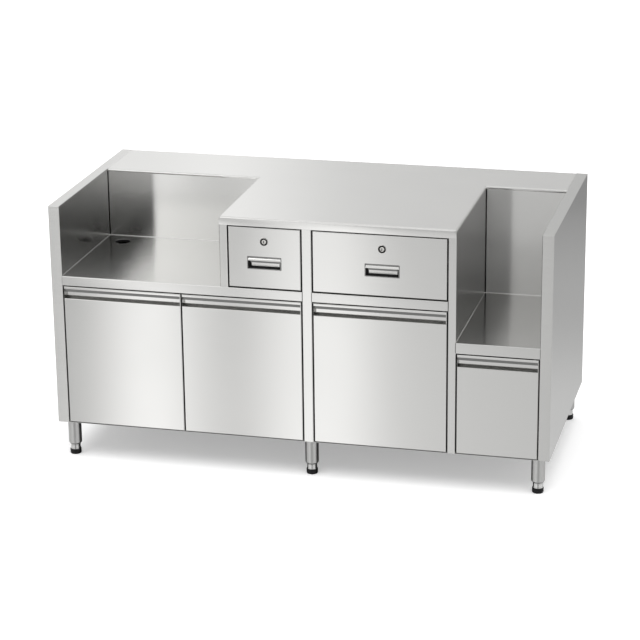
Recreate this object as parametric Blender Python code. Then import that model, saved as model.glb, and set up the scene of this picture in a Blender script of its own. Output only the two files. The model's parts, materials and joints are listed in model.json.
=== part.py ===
"""Stainless steel cashier counter: folded sheet body, two locking drawers, four doors and six levelling feet.

Metres, +Z up. The origin is on the floor under the middle of the counter. The cashier's side, with the
drawers and doors, faces -Y.
"""
import math

import bmesh
import bpy
from mathutils import Matrix, Vector

# Body
DEPTH = 0.820
BODY_HEIGHT = 0.815
LEG_HEIGHT = 0.135
SHEET = 0.0012
BEND = 0.0008
BEND_STEPS = 2
SEAT = 0.0003

# Widths, from the left side panel to the right one
PANEL_WIDTH = 0.040
LEFT_WELL_WIDTH = 0.588
SIDE_POST_WIDTH = 0.028
SMALL_BAY_WIDTH = 0.267
MIDDLE_POST_WIDTH = 0.035
LARGE_BAY_WIDTH = 0.481
RIGHT_BAY_WIDTH = 0.293

# Decks, rails and wells, with the decks set down from the top
LEFT_DECK_DROP = 0.257
RIGHT_DECK_DROP = 0.404
RAIL_HEIGHT = 0.035
RIGHT_RAIL_HEIGHT = 0.039
FASCIA_HEIGHT = 0.030
LEFT_WELL_DEPTH = 0.530
RIGHT_WELL_DEPTH = 0.575
DECK_TAIL = 0.030
BOTTOM_SETBACK = 0.002
CABLE_HOLE_RADIUS = 0.0275
CABLE_HOLE_FROM_PANEL = 0.075
CABLE_HOLE_FROM_WALL = 0.075

# Doors
REVEAL = 0.004
DOOR_FOOT_GAP = 0.002
GROOVE_DEPTH = 0.0185
DOOR_BACKING = 0.0075
LIP_HEIGHT = 0.010
GROOVE_WALL_HEIGHT = 0.0365
GROOVE_HEIGHT = 0.047
HINGE_FROM_EDGE = 0.013
HINGE_FROM_FACE = 0.007
PIN_RADIUS = 0.004
PIN_ABOVE_RAIL = 0.002
CATCH_WIDTH = 0.040
CATCH_DEPTH = 0.014
CATCH_HEIGHT = 0.012
CATCH_FROM_EDGE = 0.050
CATCH_MARGIN = 0.004

# Drawers
PULL_WIDTH = 0.120
PULL_HEIGHT = 0.043
PULL_DEPTH = 0.018
PULL_FRAME = 0.0035
PULL_PROUD = 0.001
PULL_LIP = 0.012
PULL_DROP = 0.131
LARGE_PULL_OFFSET = 0.010
FRONT_BACKING = 0.004
BOX_LENGTH = 0.470
BOX_LIFT = 0.010
RUNNER_WIDTH = 0.0127
RUNNER_HEIGHT = 0.040
RUNNER_LENGTH = 0.450
RUNNER_FROM_FACE = 0.045
RUNNER_LIFT = 0.040
RUNNER_LAP = 0.005

# Locks
LOCK_DROP = 0.0535
LOCK_BEZEL_RADIUS = 0.0120
LOCK_BEZEL_PROUD = 0.0016
LOCK_BODY_RADIUS = 0.0090
LOCK_PLUG_RADIUS = 0.0055
LOCK_TAIL_RADIUS = 0.0030
LOCK_BEHIND_FRONT = 0.004
KEY_SLOT_WIDTH = 0.0018
KEY_SLOT_HEIGHT = 0.0075
KEY_SLOT_DEPTH = 0.003
CAM_THICKNESS = 0.002
CAM_HALF_WIDTH = 0.007
CAM_CATCH = 0.008
CAM_GAP = 0.001

# Legs and feet
LEG_INSET = 0.045
LEG_SETBACK = 0.045
LEG_PLATE = 0.070
LEG_PLATE_THICKNESS = 0.003
LEG_RADIUS = 0.024
LEG_WALL = 0.0015
LEG_BEVEL_HEIGHT = 0.006
LEG_BEVEL_INSET = 0.0045
LEG_PLUG_HEIGHT = 0.014
STEM_RADIUS = 0.006
STEM_LENGTH = 0.045
NECK_RADIUS = 0.0178
NECK_HEIGHT = 0.014
FLARE_HEIGHT = 0.009
BASE_RADIUS = 0.0205
BASE_HEIGHT = 0.015
BASE_ROUND = 0.003
ROUND_SEGMENTS = 24

# Places from left to right
WIDTH = (2 * PANEL_WIDTH + LEFT_WELL_WIDTH + 2 * SIDE_POST_WIDTH + SMALL_BAY_WIDTH
         + MIDDLE_POST_WIDTH + LARGE_BAY_WIDTH + RIGHT_BAY_WIDTH)
LEFT = -WIDTH / 2
LEFT_INSIDE = LEFT + PANEL_WIDTH
BLOCK_LEFT = LEFT_INSIDE + LEFT_WELL_WIDTH
SMALL_LEFT = BLOCK_LEFT + SIDE_POST_WIDTH
SMALL_RIGHT = SMALL_LEFT + SMALL_BAY_WIDTH
LARGE_LEFT = SMALL_RIGHT + MIDDLE_POST_WIDTH
LARGE_RIGHT = LARGE_LEFT + LARGE_BAY_WIDTH
BLOCK_RIGHT = LARGE_RIGHT + SIDE_POST_WIDTH
RIGHT_INSIDE = BLOCK_RIGHT + RIGHT_BAY_WIDTH
RIGHT = RIGHT_INSIDE + PANEL_WIDTH
PAIR_MIDDLE = (LEFT_INSIDE + SMALL_RIGHT) / 2

# Places from front to back, centred with the lock bezels that stand proud of the front
BEZEL_REACH = SEAT + LOCK_BEZEL_PROUD
FRONT = (BEZEL_REACH - DEPTH) / 2
BACK = (BEZEL_REACH + DEPTH) / 2
LEFT_WELL_BACK = FRONT + LEFT_WELL_DEPTH
RIGHT_WELL_BACK = FRONT + RIGHT_WELL_DEPTH
LEFT_DECK_BACK = LEFT_WELL_BACK + DECK_TAIL
RIGHT_DECK_BACK = RIGHT_WELL_BACK + DECK_TAIL
BACK_PANEL_FRONT = BACK - SHEET
DOOR_THICKNESS = GROOVE_DEPTH + DOOR_BACKING
DOOR_REAR = FRONT + DOOR_THICKNESS
RAIL_FLANGE = DOOR_THICKNESS + CATCH_DEPTH + CATCH_MARGIN
FRONT_THICKNESS = PULL_DEPTH + FRONT_BACKING
FRONT_REAR = FRONT + FRONT_THICKNESS
LOCK_REAR = FRONT_REAR + LOCK_BEHIND_FRONT
CAM_FRONT = LOCK_REAR + SEAT + SHEET
STRIKE_REAR = CAM_FRONT - CAM_GAP

# Places from the floor up
BODY_BOTTOM = LEG_HEIGHT
TOP = LEG_HEIGHT + BODY_HEIGHT
UNDER_TOP = TOP - SHEET - SEAT
FLOOR_TOP = BODY_BOTTOM + SHEET
LEFT_DECK = TOP - LEFT_DECK_DROP
RIGHT_DECK = TOP - RIGHT_DECK_DROP
LEFT_RAIL = LEFT_DECK - RAIL_HEIGHT
RIGHT_RAIL = RIGHT_DECK - RIGHT_RAIL_HEIGHT
FASCIA_BOTTOM = TOP - FASCIA_HEIGHT
DOOR_BOTTOM = FLOOR_TOP + DOOR_FOOT_GAP
LOCK_HEIGHT = FASCIA_BOTTOM - LOCK_DROP
PULL_CENTER = FASCIA_BOTTOM - PULL_DROP
BOX_BOTTOM = LEFT_DECK + BOX_LIFT
BOX_TOP = LOCK_HEIGHT - LOCK_BODY_RADIUS - CAM_HALF_WIDTH
RUNNER_BOTTOM = BOX_BOTTOM + RUNNER_LIFT
CAM_LENGTH = LOCK_DROP + CAM_CATCH
FOOT_HEIGHT = NECK_HEIGHT + FLARE_HEIGHT + BASE_HEIGHT
LEG_BOTTOM = FOOT_HEIGHT + SEAT

STEEL_COLOR = (0.72, 0.72, 0.71)
LINING_COLOR = (0.60, 0.60, 0.59)
ZINC_COLOR = (0.55, 0.56, 0.58)
NICKEL_COLOR = (0.78, 0.77, 0.74)
BLACK_COLOR = (0.015, 0.015, 0.016)
CATCH_COLOR = (0.70, 0.70, 0.68)


def clear_scene():
    for item in list(bpy.data.objects):
        bpy.data.objects.remove(item, do_unlink=True)


def make_material(name, color, roughness, metallic):
    material = bpy.data.materials.new(name)
    material.use_nodes = True
    shader = material.node_tree.nodes["Principled BSDF"]
    shader.inputs["Base Color"].default_value = (*color, 1.0)
    shader.inputs["Roughness"].default_value = roughness
    shader.inputs["Metallic"].default_value = metallic
    return material


def make_object(name, mesh_data, material):
    """Turn a bmesh into a named object that carries one material."""
    mesh = bpy.data.meshes.new(name)
    bmesh.ops.recalc_face_normals(mesh_data, faces=mesh_data.faces)
    mesh_data.to_mesh(mesh)
    mesh_data.free()
    mesh.materials.append(material)
    item = bpy.data.objects.new(name, mesh)
    bpy.context.scene.collection.objects.link(item)
    return item


def block(name, low, high, material):
    """A plain sheet or block between two corners."""
    size = Vector(high) - Vector(low)
    middle = (Vector(high) + Vector(low)) / 2
    mesh_data = bmesh.new()
    place = Matrix.Translation(middle) @ Matrix.Diagonal((*size, 1.0))
    bmesh.ops.create_cube(mesh_data, size=1.0, matrix=place)
    return make_object(name, mesh_data, material)


def tray(name, low, high, opening, wall, material):
    """A folded tray: a box that is hollow from the side that the opening vector points to."""
    size = Vector(high) - Vector(low)
    middle = (Vector(high) + Vector(low)) / 2
    mesh_data = bmesh.new()
    place = Matrix.Translation(middle) @ Matrix.Diagonal((*size, 1.0))
    bmesh.ops.create_cube(mesh_data, size=1.0, matrix=place)
    mesh_data.normal_update()
    way = Vector(opening)
    mouth = max(mesh_data.faces, key=lambda face: face.normal.dot(way))
    bmesh.ops.inset_region(mesh_data, faces=[mouth], thickness=wall, use_even_offset=True)
    hollow = abs(size.dot(way)) - wall
    sunk = bmesh.ops.extrude_discrete_faces(mesh_data, faces=[mouth])["faces"]
    bmesh.ops.translate(mesh_data, vec=-way * hollow, verts=sunk[0].verts)
    return make_object(name, mesh_data, material)


def right_of(first, second):
    """The unit vector to the right of the way from one point of a path to the next."""
    way = (second - first).normalized()
    return Vector((way.y, -way.x))


def bent(path, thickness):
    """Round a sheet's path at its bends, so that the sheet's inner radius is the same at each."""
    points = [Vector(point) for point in path]
    rounded = [points[0]]
    for before, corner, after in zip(points, points[1:], points[2:]):
        way_in = (corner - before).normalized()
        way_out = (after - corner).normalized()
        turn = way_in.x * way_out.y - way_in.y * way_out.x
        radius = BEND if turn > 0 else BEND + thickness
        angle = way_in.angle(way_out)
        reach = radius * math.tan(angle / 2)
        side = -right_of(before, corner) if turn > 0 else right_of(before, corner)
        center = corner - way_in * reach + side * radius
        start = (corner - way_in * reach) - center
        for step in range(BEND_STEPS + 1):
            swing = math.copysign(angle * step / BEND_STEPS, turn)
            rounded.append(center + Matrix.Rotation(swing, 2) @ start)
    rounded.append(points[-1])
    return rounded


def sheet_sides(path, thickness):
    """The two sides of a folded sheet's cross-section: its path, and the side to the right of it."""
    points = bent(path, thickness)
    other = [points[0] + right_of(points[0], points[1]) * thickness]
    for before, corner, after in zip(points, points[1:], points[2:]):
        first = right_of(before, corner)
        second = right_of(corner, after)
        other.append(corner + (first + second) * thickness / (1 + first.dot(second)))
    other.append(points[-1] + right_of(points[-2], points[-1]) * thickness)
    return points, other


def extruded(name, outline, along, start, end, material):
    """A solid with a flat outline, drawn out along the x, y or z axis."""
    axis = "xyz".index(along)
    mesh_data = bmesh.new()
    corners = []
    for point in outline:
        place = list(point)
        place.insert(axis, start)
        corners.append(mesh_data.verts.new(place))
    face = mesh_data.faces.new(corners)
    moved = bmesh.ops.extrude_face_region(mesh_data, geom=[face])["geom"]
    shift = Vector()
    shift[axis] = end - start
    tops = [part for part in moved if isinstance(part, bmesh.types.BMVert)]
    bmesh.ops.translate(mesh_data, vec=shift, verts=tops)
    return make_object(name, mesh_data, material)


def folded(name, path, along, start, end, material):
    """A folded sheet whose bends all run along one axis."""
    near, far = sheet_sides(path, SHEET)
    return extruded(name, near + far[::-1], along, start, end, material)


def turned(name, profile, place, material, closed=True):
    """A turned piece: (radius, height) points spun round the z axis, then put in place by a matrix."""
    mesh_data = bmesh.new()
    points = [mesh_data.verts.new((radius, 0.0, height)) for radius, height in profile]
    pairs = list(zip(points, points[1:]))
    if closed:
        pairs.append((points[-1], points[0]))
    edges = [mesh_data.edges.new(pair) for pair in pairs]
    bmesh.ops.spin(mesh_data, geom=points + edges, cent=(0, 0, 0), axis=(0, 0, 1), angle=2 * math.pi,
                   steps=ROUND_SEGMENTS, use_merge=True)
    bmesh.ops.remove_doubles(mesh_data, verts=mesh_data.verts, dist=1e-6)
    bmesh.ops.transform(mesh_data, matrix=place, verts=mesh_data.verts)
    item = make_object(name, mesh_data, material)
    item.data.shade_smooth()
    item.data.set_sharp_from_angle(angle=math.radians(30))
    return item


def combine(item, other, operation):
    """Join another solid to an object, or cut it out, and use that solid up."""
    change = item.modifiers.new(operation.title(), "BOOLEAN")
    change.operation = operation
    change.solver = "EXACT"
    change.object = other
    graph = bpy.context.evaluated_depsgraph_get()
    old = item.data
    item.data = bpy.data.meshes.new_from_object(item.evaluated_get(graph))
    item.modifiers.clear()
    item.data.name = item.name
    bpy.data.meshes.remove(old)
    bpy.data.objects.remove(other, do_unlink=True)


def rod(name, place, low, high, radius, material):
    """An upright pin or round cutter."""
    profile = [(0, high), (radius, high), (radius, low), (0, low)]
    return turned(name, profile, Matrix.Translation((*place, 0)), material, closed=False)


def drill(item, place, low, high, radius):
    """Cut an upright round hole."""
    combine(item, rod("cutter", place, low, high, radius, item.data.materials[0]), "DIFFERENCE")


def carry(items, name, place):
    """Hang objects on an empty, with their origins on its point."""
    holder = bpy.data.objects.new(name, None)
    holder.location = place
    bpy.context.scene.collection.objects.link(holder)
    for item in items:
        item.data.transform(Matrix.Translation(-Vector(place)))
        item.parent = holder
    return holder


def facing_front(place):
    """Turn a piece's z axis so that it points into the counter, and move it to a point on the front."""
    return Matrix.Translation(place) @ Matrix.Rotation(-math.pi / 2, 4, "X")


def side_panels(steel, lining):
    """The two side panels: a folded outer tray and the flat sheet that lines its open side."""
    for side, outer, inner in (("left", LEFT, LEFT_INSIDE), ("right", RIGHT, RIGHT_INSIDE)):
        inward = math.copysign(1.0, inner - outer)
        low = (min(outer, inner), FRONT, BODY_BOTTOM)
        high = (max(outer, inner), BACK, TOP)
        tray("side_panel_" + side, low, high, (inward, 0, 0), SHEET, steel)
        hidden = inner - inward * SHEET
        edge = SHEET + SEAT
        low = (min(hidden, inner), FRONT + edge, BODY_BOTTOM + edge)
        high = (max(hidden, inner), BACK - edge, TOP - edge)
        block("side_lining_" + side, low, high, lining)


def worktop(steel):
    """The T-shaped top with its turned-down front edge and the strips that the lock cams catch on."""
    left = LEFT_INSIDE + SEAT
    right = RIGHT_INSIDE - SEAT
    outline = [(left, BACK), (left, LEFT_WELL_BACK), (BLOCK_LEFT, LEFT_WELL_BACK), (BLOCK_LEFT, FRONT),
               (BLOCK_RIGHT, FRONT), (BLOCK_RIGHT, RIGHT_WELL_BACK), (right, RIGHT_WELL_BACK), (right, BACK)]
    top = extruded("worktop", outline, "z", TOP - SHEET, TOP, steel)
    mesh_data = bmesh.new()
    mesh_data.from_mesh(top.data)
    cut_at = (0, FRONT + SHEET, 0)
    parts = mesh_data.verts[:] + mesh_data.edges[:] + mesh_data.faces[:]
    bmesh.ops.bisect_plane(mesh_data, geom=parts, plane_co=cut_at, plane_no=(0, 1, 0))
    mesh_data.normal_update()
    downward = [face for face in mesh_data.faces if face.normal.z < -0.5]
    strip = min(downward, key=lambda face: face.calc_center_median().y)
    sunk = bmesh.ops.extrude_discrete_faces(mesh_data, faces=[strip])["faces"]
    bmesh.ops.translate(mesh_data, vec=(0, 0, SHEET - FASCIA_HEIGHT), verts=sunk[0].verts)
    mesh_data.to_mesh(top.data)
    mesh_data.free()
    for left, right in ((SMALL_LEFT, SMALL_RIGHT), (LARGE_LEFT, LARGE_RIGHT)):
        low = (left + SEAT, FRONT + SHEET / 2, FASCIA_BOTTOM + SHEET / 4)
        high = (right - SEAT, STRIKE_REAR, FASCIA_BOTTOM + SHEET * 5 / 4)
        combine(top, block("strike", low, high, steel), "UNION")


def shell_sheets(steel, lining):
    """The back panel, the bottom sheet and the back walls of the two wells."""
    left = LEFT_INSIDE + SEAT
    right = RIGHT_INSIDE - SEAT
    block("back_panel", (left, BACK_PANEL_FRONT, BODY_BOTTOM), (right, BACK, UNDER_TOP), steel)
    floor_low = (left, FRONT + BOTTOM_SETBACK, BODY_BOTTOM)
    floor = block("bottom_sheet", floor_low, (right, BACK_PANEL_FRONT - SEAT, FLOOR_TOP), lining)
    for pivot in door_pivots().values():
        drill(floor, pivot, BODY_BOTTOM - SHEET, FLOOR_TOP + SHEET, PIN_RADIUS + SEAT)
    low = (left, LEFT_WELL_BACK, LEFT_DECK + SEAT)
    block("well_wall_left", low, (BLOCK_LEFT - SEAT, LEFT_WELL_BACK + SHEET, UNDER_TOP), steel)
    low = (BLOCK_RIGHT + SEAT, RIGHT_WELL_BACK, RIGHT_DECK + SEAT)
    block("well_wall_right", low, (right, RIGHT_WELL_BACK + SHEET, UNDER_TOP), steel)


def deck_path(deck, rail, rear):
    """The fold of a deck: its flat top, the rail down its front and the flange that carries the pins."""
    return [(rear, deck - SHEET), (FRONT + SHEET, deck - SHEET), (FRONT + SHEET, rail + SHEET),
            (FRONT + RAIL_FLANGE, rail + SHEET)]


def decks(steel):
    """The two decks and the floor under the large drawer, with holes for the doors' upper pins."""
    spans = {
        "deck_left": (LEFT_INSIDE, SMALL_RIGHT, ("far_left", "mid_left")),
        "drawer_floor": (LARGE_LEFT, LARGE_RIGHT, ("center",)),
        "deck_right": (BLOCK_RIGHT, RIGHT_INSIDE, ("right",)),
    }
    pivots = door_pivots()
    for name, (left, right, door_names) in spans.items():
        deck, rail, rear = LEFT_DECK, LEFT_RAIL, LEFT_DECK_BACK
        if name == "deck_right":
            deck, rail, rear = RIGHT_DECK, RIGHT_RAIL, RIGHT_DECK_BACK
        item = folded(name, deck_path(deck, rail, rear), "x", left + SEAT, right - SEAT, steel)
        for door_name in door_names:
            drill(item, pivots[door_name], rail - SHEET, rail + 2 * SHEET, PIN_RADIUS + SEAT)
        if name == "deck_left":
            hole = (LEFT_INSIDE + CABLE_HOLE_FROM_PANEL, LEFT_WELL_BACK - CABLE_HOLE_FROM_WALL)
            drill(item, hole, deck - 2 * SHEET, deck + SHEET, CABLE_HOLE_RADIUS)


def partitions(steel):
    """The three double-skinned partitions. Their folded front edges are the posts beside the drawers."""
    spans = {
        "partition_left": (BLOCK_LEFT, SMALL_LEFT, LEFT_DECK + SEAT, LEFT_DECK_BACK - SEAT),
        "partition_center": (SMALL_RIGHT, LARGE_LEFT, FLOOR_TOP + SEAT, BACK_PANEL_FRONT - SEAT),
        "partition_right": (LARGE_RIGHT, BLOCK_RIGHT, FLOOR_TOP + SEAT, BACK_PANEL_FRONT - SEAT),
    }
    for name, (left, right, bottom, rear) in spans.items():
        path = [(right, rear), (right, FRONT), (left, FRONT), (left, rear)]
        item = folded(name, path, "z", bottom, UNDER_TOP, steel)
        low = (left - SHEET, FRONT - SHEET, FASCIA_BOTTOM - SEAT)
        high = (right + SHEET, FRONT + SHEET + SEAT, TOP)
        combine(item, block("cutter", low, high, steel), "DIFFERENCE")


def door_pivots():
    """Where each door's upright hinge axis stands, seen from above."""
    depth = FRONT + HINGE_FROM_FACE
    inset = REVEAL + HINGE_FROM_EDGE
    return {
        "far_left": (LEFT_INSIDE + inset, depth),
        "mid_left": (SMALL_RIGHT - inset, depth),
        "center": (LARGE_RIGHT - inset, depth),
        "right": (RIGHT_INSIDE - inset, depth),
    }


def door_skin(name, left, right, rail, steel):
    """A door's folded skin: the face, the finger groove under a hooked lip, and two pivot pins."""
    top = rail - REVEAL
    wall = FRONT + GROOVE_DEPTH
    lip = [(FRONT, top - LIP_HEIGHT), (FRONT, top), (DOOR_REAR, top)]
    face = [(wall, top - SHEET), (wall, top - GROOVE_WALL_HEIGHT), (FRONT + SHEET, top - GROOVE_HEIGHT),
            (FRONT + SHEET, DOOR_BOTTOM + SHEET), (DOOR_REAR, DOOR_BOTTOM + SHEET)]
    lip_outside, lip_inside = sheet_sides(lip, SHEET)
    face_inside, face_outside = sheet_sides(face, SHEET)
    outline = lip_outside + lip_inside[-1:] + face_inside + face_outside[::-1] + lip_inside[-2::-1]
    skin = extruded("door_skin_" + name, outline, "x", left, right, steel)
    pivot = door_pivots()[name]
    upper = (top - SHEET / 2, rail + SHEET + PIN_ABOVE_RAIL)
    lower = (BODY_BOTTOM + SEAT, DOOR_BOTTOM + SHEET / 2)
    for low, high in (upper, lower):
        combine(skin, rod("pin", pivot, low, high, PIN_RADIUS, steel), "UNION")
    return skin


def door_back(name, left, right, rail, lining):
    """The tray that closes a door's back and sides, cut clear of the finger groove."""
    top = rail - REVEAL
    edge = SHEET + SEAT
    low = (left, FRONT + edge, DOOR_BOTTOM + edge)
    back = tray("door_back_" + name, low, (right, DOOR_REAR, top - edge), (0, -1, 0), SHEET, lining)
    low = (left - edge, FRONT - edge, top - GROOVE_HEIGHT - 2 * edge)
    high = (right + edge, FRONT + GROOVE_DEPTH + SEAT, rail)
    combine(back, block("cutter", low, high, lining), "DIFFERENCE")
    return back


def door(name, left, right, rail, free_edge, steel, lining, plastic):
    """One door on its hinge axis, and the magnetic catch under the rail that holds it shut."""
    skin = door_skin(name, left, right, rail, steel)
    back = door_back(name, left, right, rail, lining)
    carry([skin, back], "hinge_" + name, (*door_pivots()[name], DOOR_BOTTOM))
    middle = free_edge + math.copysign(CATCH_FROM_EDGE, (left + right) / 2 - free_edge)
    low = (middle - CATCH_WIDTH / 2, DOOR_REAR + SEAT, rail - SEAT - CATCH_HEIGHT)
    high = (middle + CATCH_WIDTH / 2, DOOR_REAR + SEAT + CATCH_DEPTH, rail - SEAT)
    block("door_catch_" + name, low, high, plastic)


def doors(steel, lining, plastic):
    half = REVEAL / 2
    spans = {
        "far_left": (LEFT_INSIDE + REVEAL, PAIR_MIDDLE - half, LEFT_RAIL, "right"),
        "mid_left": (PAIR_MIDDLE + half, SMALL_RIGHT - REVEAL, LEFT_RAIL, "left"),
        "center": (LARGE_LEFT + REVEAL, LARGE_RIGHT - REVEAL, LEFT_RAIL, "left"),
        "right": (BLOCK_RIGHT + REVEAL, RIGHT_INSIDE - REVEAL, RIGHT_RAIL, "left"),
    }
    for name, (left, right, rail, free) in spans.items():
        free_edge = left if free == "left" else right
        door(name, left, right, rail, free_edge, steel, lining, plastic)


def pull_cup(name, middle, steel):
    """A recessed pull: a cup behind a thin frame, with a lip over its upper part to hook the fingers on."""
    half_width = PULL_WIDTH / 2 - PULL_FRAME
    half_height = PULL_HEIGHT / 2 - PULL_FRAME
    face = FRONT - SEAT - PULL_PROUD
    low = (middle - half_width, face + PULL_PROUD / 2, PULL_CENTER - half_height)
    high = (middle + half_width, FRONT + PULL_DEPTH, PULL_CENTER + half_height)
    frame_low = (middle - PULL_WIDTH / 2, face, PULL_CENTER - PULL_HEIGHT / 2)
    frame_high = (middle + PULL_WIDTH / 2, FRONT - SEAT, PULL_CENTER + PULL_HEIGHT / 2)
    cup = block(name, frame_low, frame_high, steel)
    combine(cup, block("shell", low, high, steel), "UNION")
    low = (low[0] + SHEET, face - PULL_PROUD, low[2] + SHEET)
    high = (high[0] - SHEET, high[1] - SHEET, high[2] - SHEET)
    combine(cup, block("hollow", low, high, steel), "DIFFERENCE")
    low = (low[0] - SHEET / 2, face + PULL_PROUD / 4, high[2] - PULL_LIP)
    high = (high[0] + SHEET / 2, face + PULL_PROUD / 4 + SHEET, high[2] + SHEET / 2)
    combine(cup, block("lip", low, high, steel), "UNION")
    return cup


def lock_parts(name, middle, nickel, zinc):
    """A cam lock: the body with its bezel, the plug that turns in it, and the cam on the plug's tail."""
    place = facing_front((middle, FRONT, LOCK_HEIGHT))
    reach = LOCK_REAR - FRONT
    bore = LOCK_PLUG_RADIUS + SEAT
    proud = BEZEL_REACH
    ring = [(bore, -proud), (LOCK_BEZEL_RADIUS - LOCK_BEZEL_PROUD / 2, -proud),
            (LOCK_BEZEL_RADIUS, -proud + LOCK_BEZEL_PROUD / 2), (LOCK_BEZEL_RADIUS, -SEAT),
            (LOCK_BODY_RADIUS, -SEAT), (LOCK_BODY_RADIUS, reach), (bore, reach)]
    body = turned("lock_body_" + name, ring, place, nickel)
    shoulder = CAM_FRONT - SEAT - FRONT
    tail = shoulder + CAM_THICKNESS + 2 * SHEET
    core = [(0, -proud + SHEET / 2), (LOCK_PLUG_RADIUS, -proud + SHEET / 2), (LOCK_PLUG_RADIUS, shoulder),
            (LOCK_TAIL_RADIUS, shoulder), (LOCK_TAIL_RADIUS, tail), (0, tail)]
    plug = turned("lock_plug_" + name, core, place, nickel, closed=False)
    low = (middle - KEY_SLOT_WIDTH / 2, FRONT - 2 * proud, LOCK_HEIGHT - KEY_SLOT_HEIGHT / 2)
    high = (middle + KEY_SLOT_WIDTH / 2, FRONT - proud + KEY_SLOT_DEPTH, LOCK_HEIGHT + KEY_SLOT_HEIGHT / 2)
    combine(plug, block("slot", low, high, nickel), "DIFFERENCE")
    outline = []
    for end, start in ((0, math.pi / 2), (CAM_LENGTH - CAM_HALF_WIDTH, -math.pi / 2)):
        for step in range(7):
            angle = start + math.pi * step / 6
            outline.append((middle + end + CAM_HALF_WIDTH * math.cos(angle),
                            LOCK_HEIGHT + CAM_HALF_WIDTH * math.sin(angle)))
    cam = extruded("lock_cam_" + name, outline, "y", CAM_FRONT, CAM_FRONT + CAM_THICKNESS, zinc)
    hole_place = facing_front((middle, CAM_FRONT, LOCK_HEIGHT))
    hole_radius = LOCK_TAIL_RADIUS + SEAT
    hole = [(0, -SHEET), (hole_radius, -SHEET), (hole_radius, CAM_THICKNESS + SHEET),
            (0, CAM_THICKNESS + SHEET)]
    combine(cam, turned("hole", hole, hole_place, zinc, closed=False), "DIFFERENCE")
    carry([plug, cam], "lock_axis_" + name, (middle, FRONT, LOCK_HEIGHT))
    return body


def drawer_front(name, left, right, middle, steel):
    """A double-skinned front, with a mouth for the pull and a hole through both skins for the lock."""
    low = Vector((left + REVEAL, FRONT, LEFT_DECK + REVEAL))
    high = Vector((right - REVEAL, FRONT_REAR, FASCIA_BOTTOM - REVEAL))
    skin = Vector((SHEET, SHEET, SHEET))
    front = block("drawer_front_" + name, low, high, steel)
    hollow = block("hollow", low + skin, high - skin, steel)
    half_width = PULL_WIDTH / 2 - PULL_FRAME + SEAT
    half_height = PULL_HEIGHT / 2 - PULL_FRAME + SEAT
    low = (middle - half_width, FRONT - SHEET, PULL_CENTER - half_height)
    high = (middle + half_width, FRONT + 2 * SHEET, PULL_CENTER + half_height)
    combine(hollow, block("mouth", low, high, steel), "UNION")
    combine(front, hollow, "DIFFERENCE")
    radius = LOCK_BODY_RADIUS + SEAT
    far = FRONT_THICKNESS + SHEET
    hole = [(0, -SHEET), (radius, -SHEET), (radius, far), (0, far)]
    place = facing_front((middle, FRONT, LOCK_HEIGHT))
    combine(front, turned("cutter", hole, place, steel, closed=False), "DIFFERENCE")
    return front


def drawer(name, left, right, pull_offset, steel, lining, zinc, nickel):
    """One drawer with its front, box, rails, pull and lock, and the fixed runners it slides on."""
    middle = (left + right) / 2 + pull_offset
    front = drawer_front(name, left, right, middle, steel)
    low = (left + RUNNER_WIDTH, FRONT_REAR + SEAT, BOX_BOTTOM)
    high = (right - RUNNER_WIDTH, FRONT_REAR + SEAT + BOX_LENGTH, BOX_TOP)
    box = tray("drawer_box_" + name, low, high, (0, 0, 1), SHEET, lining)
    moving = [front, box, pull_cup("drawer_pull_" + name, middle, steel), lock_parts(name, middle, nickel, zinc)]
    start = FRONT + RUNNER_FROM_FACE
    for side, wall, inward in (("left", left, 1), ("right", right, -1)):
        moving.append(runner_pair(name + "_" + side, wall, inward, start, zinc))
    carry(moving, "drawer_" + name, (middle, FRONT, PULL_CENTER))


def runner_pair(name, wall, inward, start, zinc):
    """A fixed runner on a partition, open towards the drawer, and the drawer's rail that slides in it."""
    top = RUNNER_BOTTOM + RUNNER_HEIGHT
    near = wall + inward * SEAT
    far = wall + inward * (RUNNER_WIDTH - RUNNER_LAP)
    path = [(far, RUNNER_BOTTOM), (near, RUNNER_BOTTOM), (near, top), (far, top)]
    path = path if inward > 0 else path[::-1]
    folded("runner_" + name, path, "y", start, start + RUNNER_LENGTH, zinc)
    low = RUNNER_BOTTOM + SHEET + SEAT
    high = top - SHEET - SEAT
    near = wall + inward * (RUNNER_WIDTH - SEAT)
    far = wall + inward * RUNNER_LAP
    path = [(far, high), (near, high), (near, low), (far, low)]
    path = path if inward > 0 else path[::-1]
    return folded("drawer_rail_" + name, path, "y", start, start + RUNNER_LENGTH, zinc)


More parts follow.
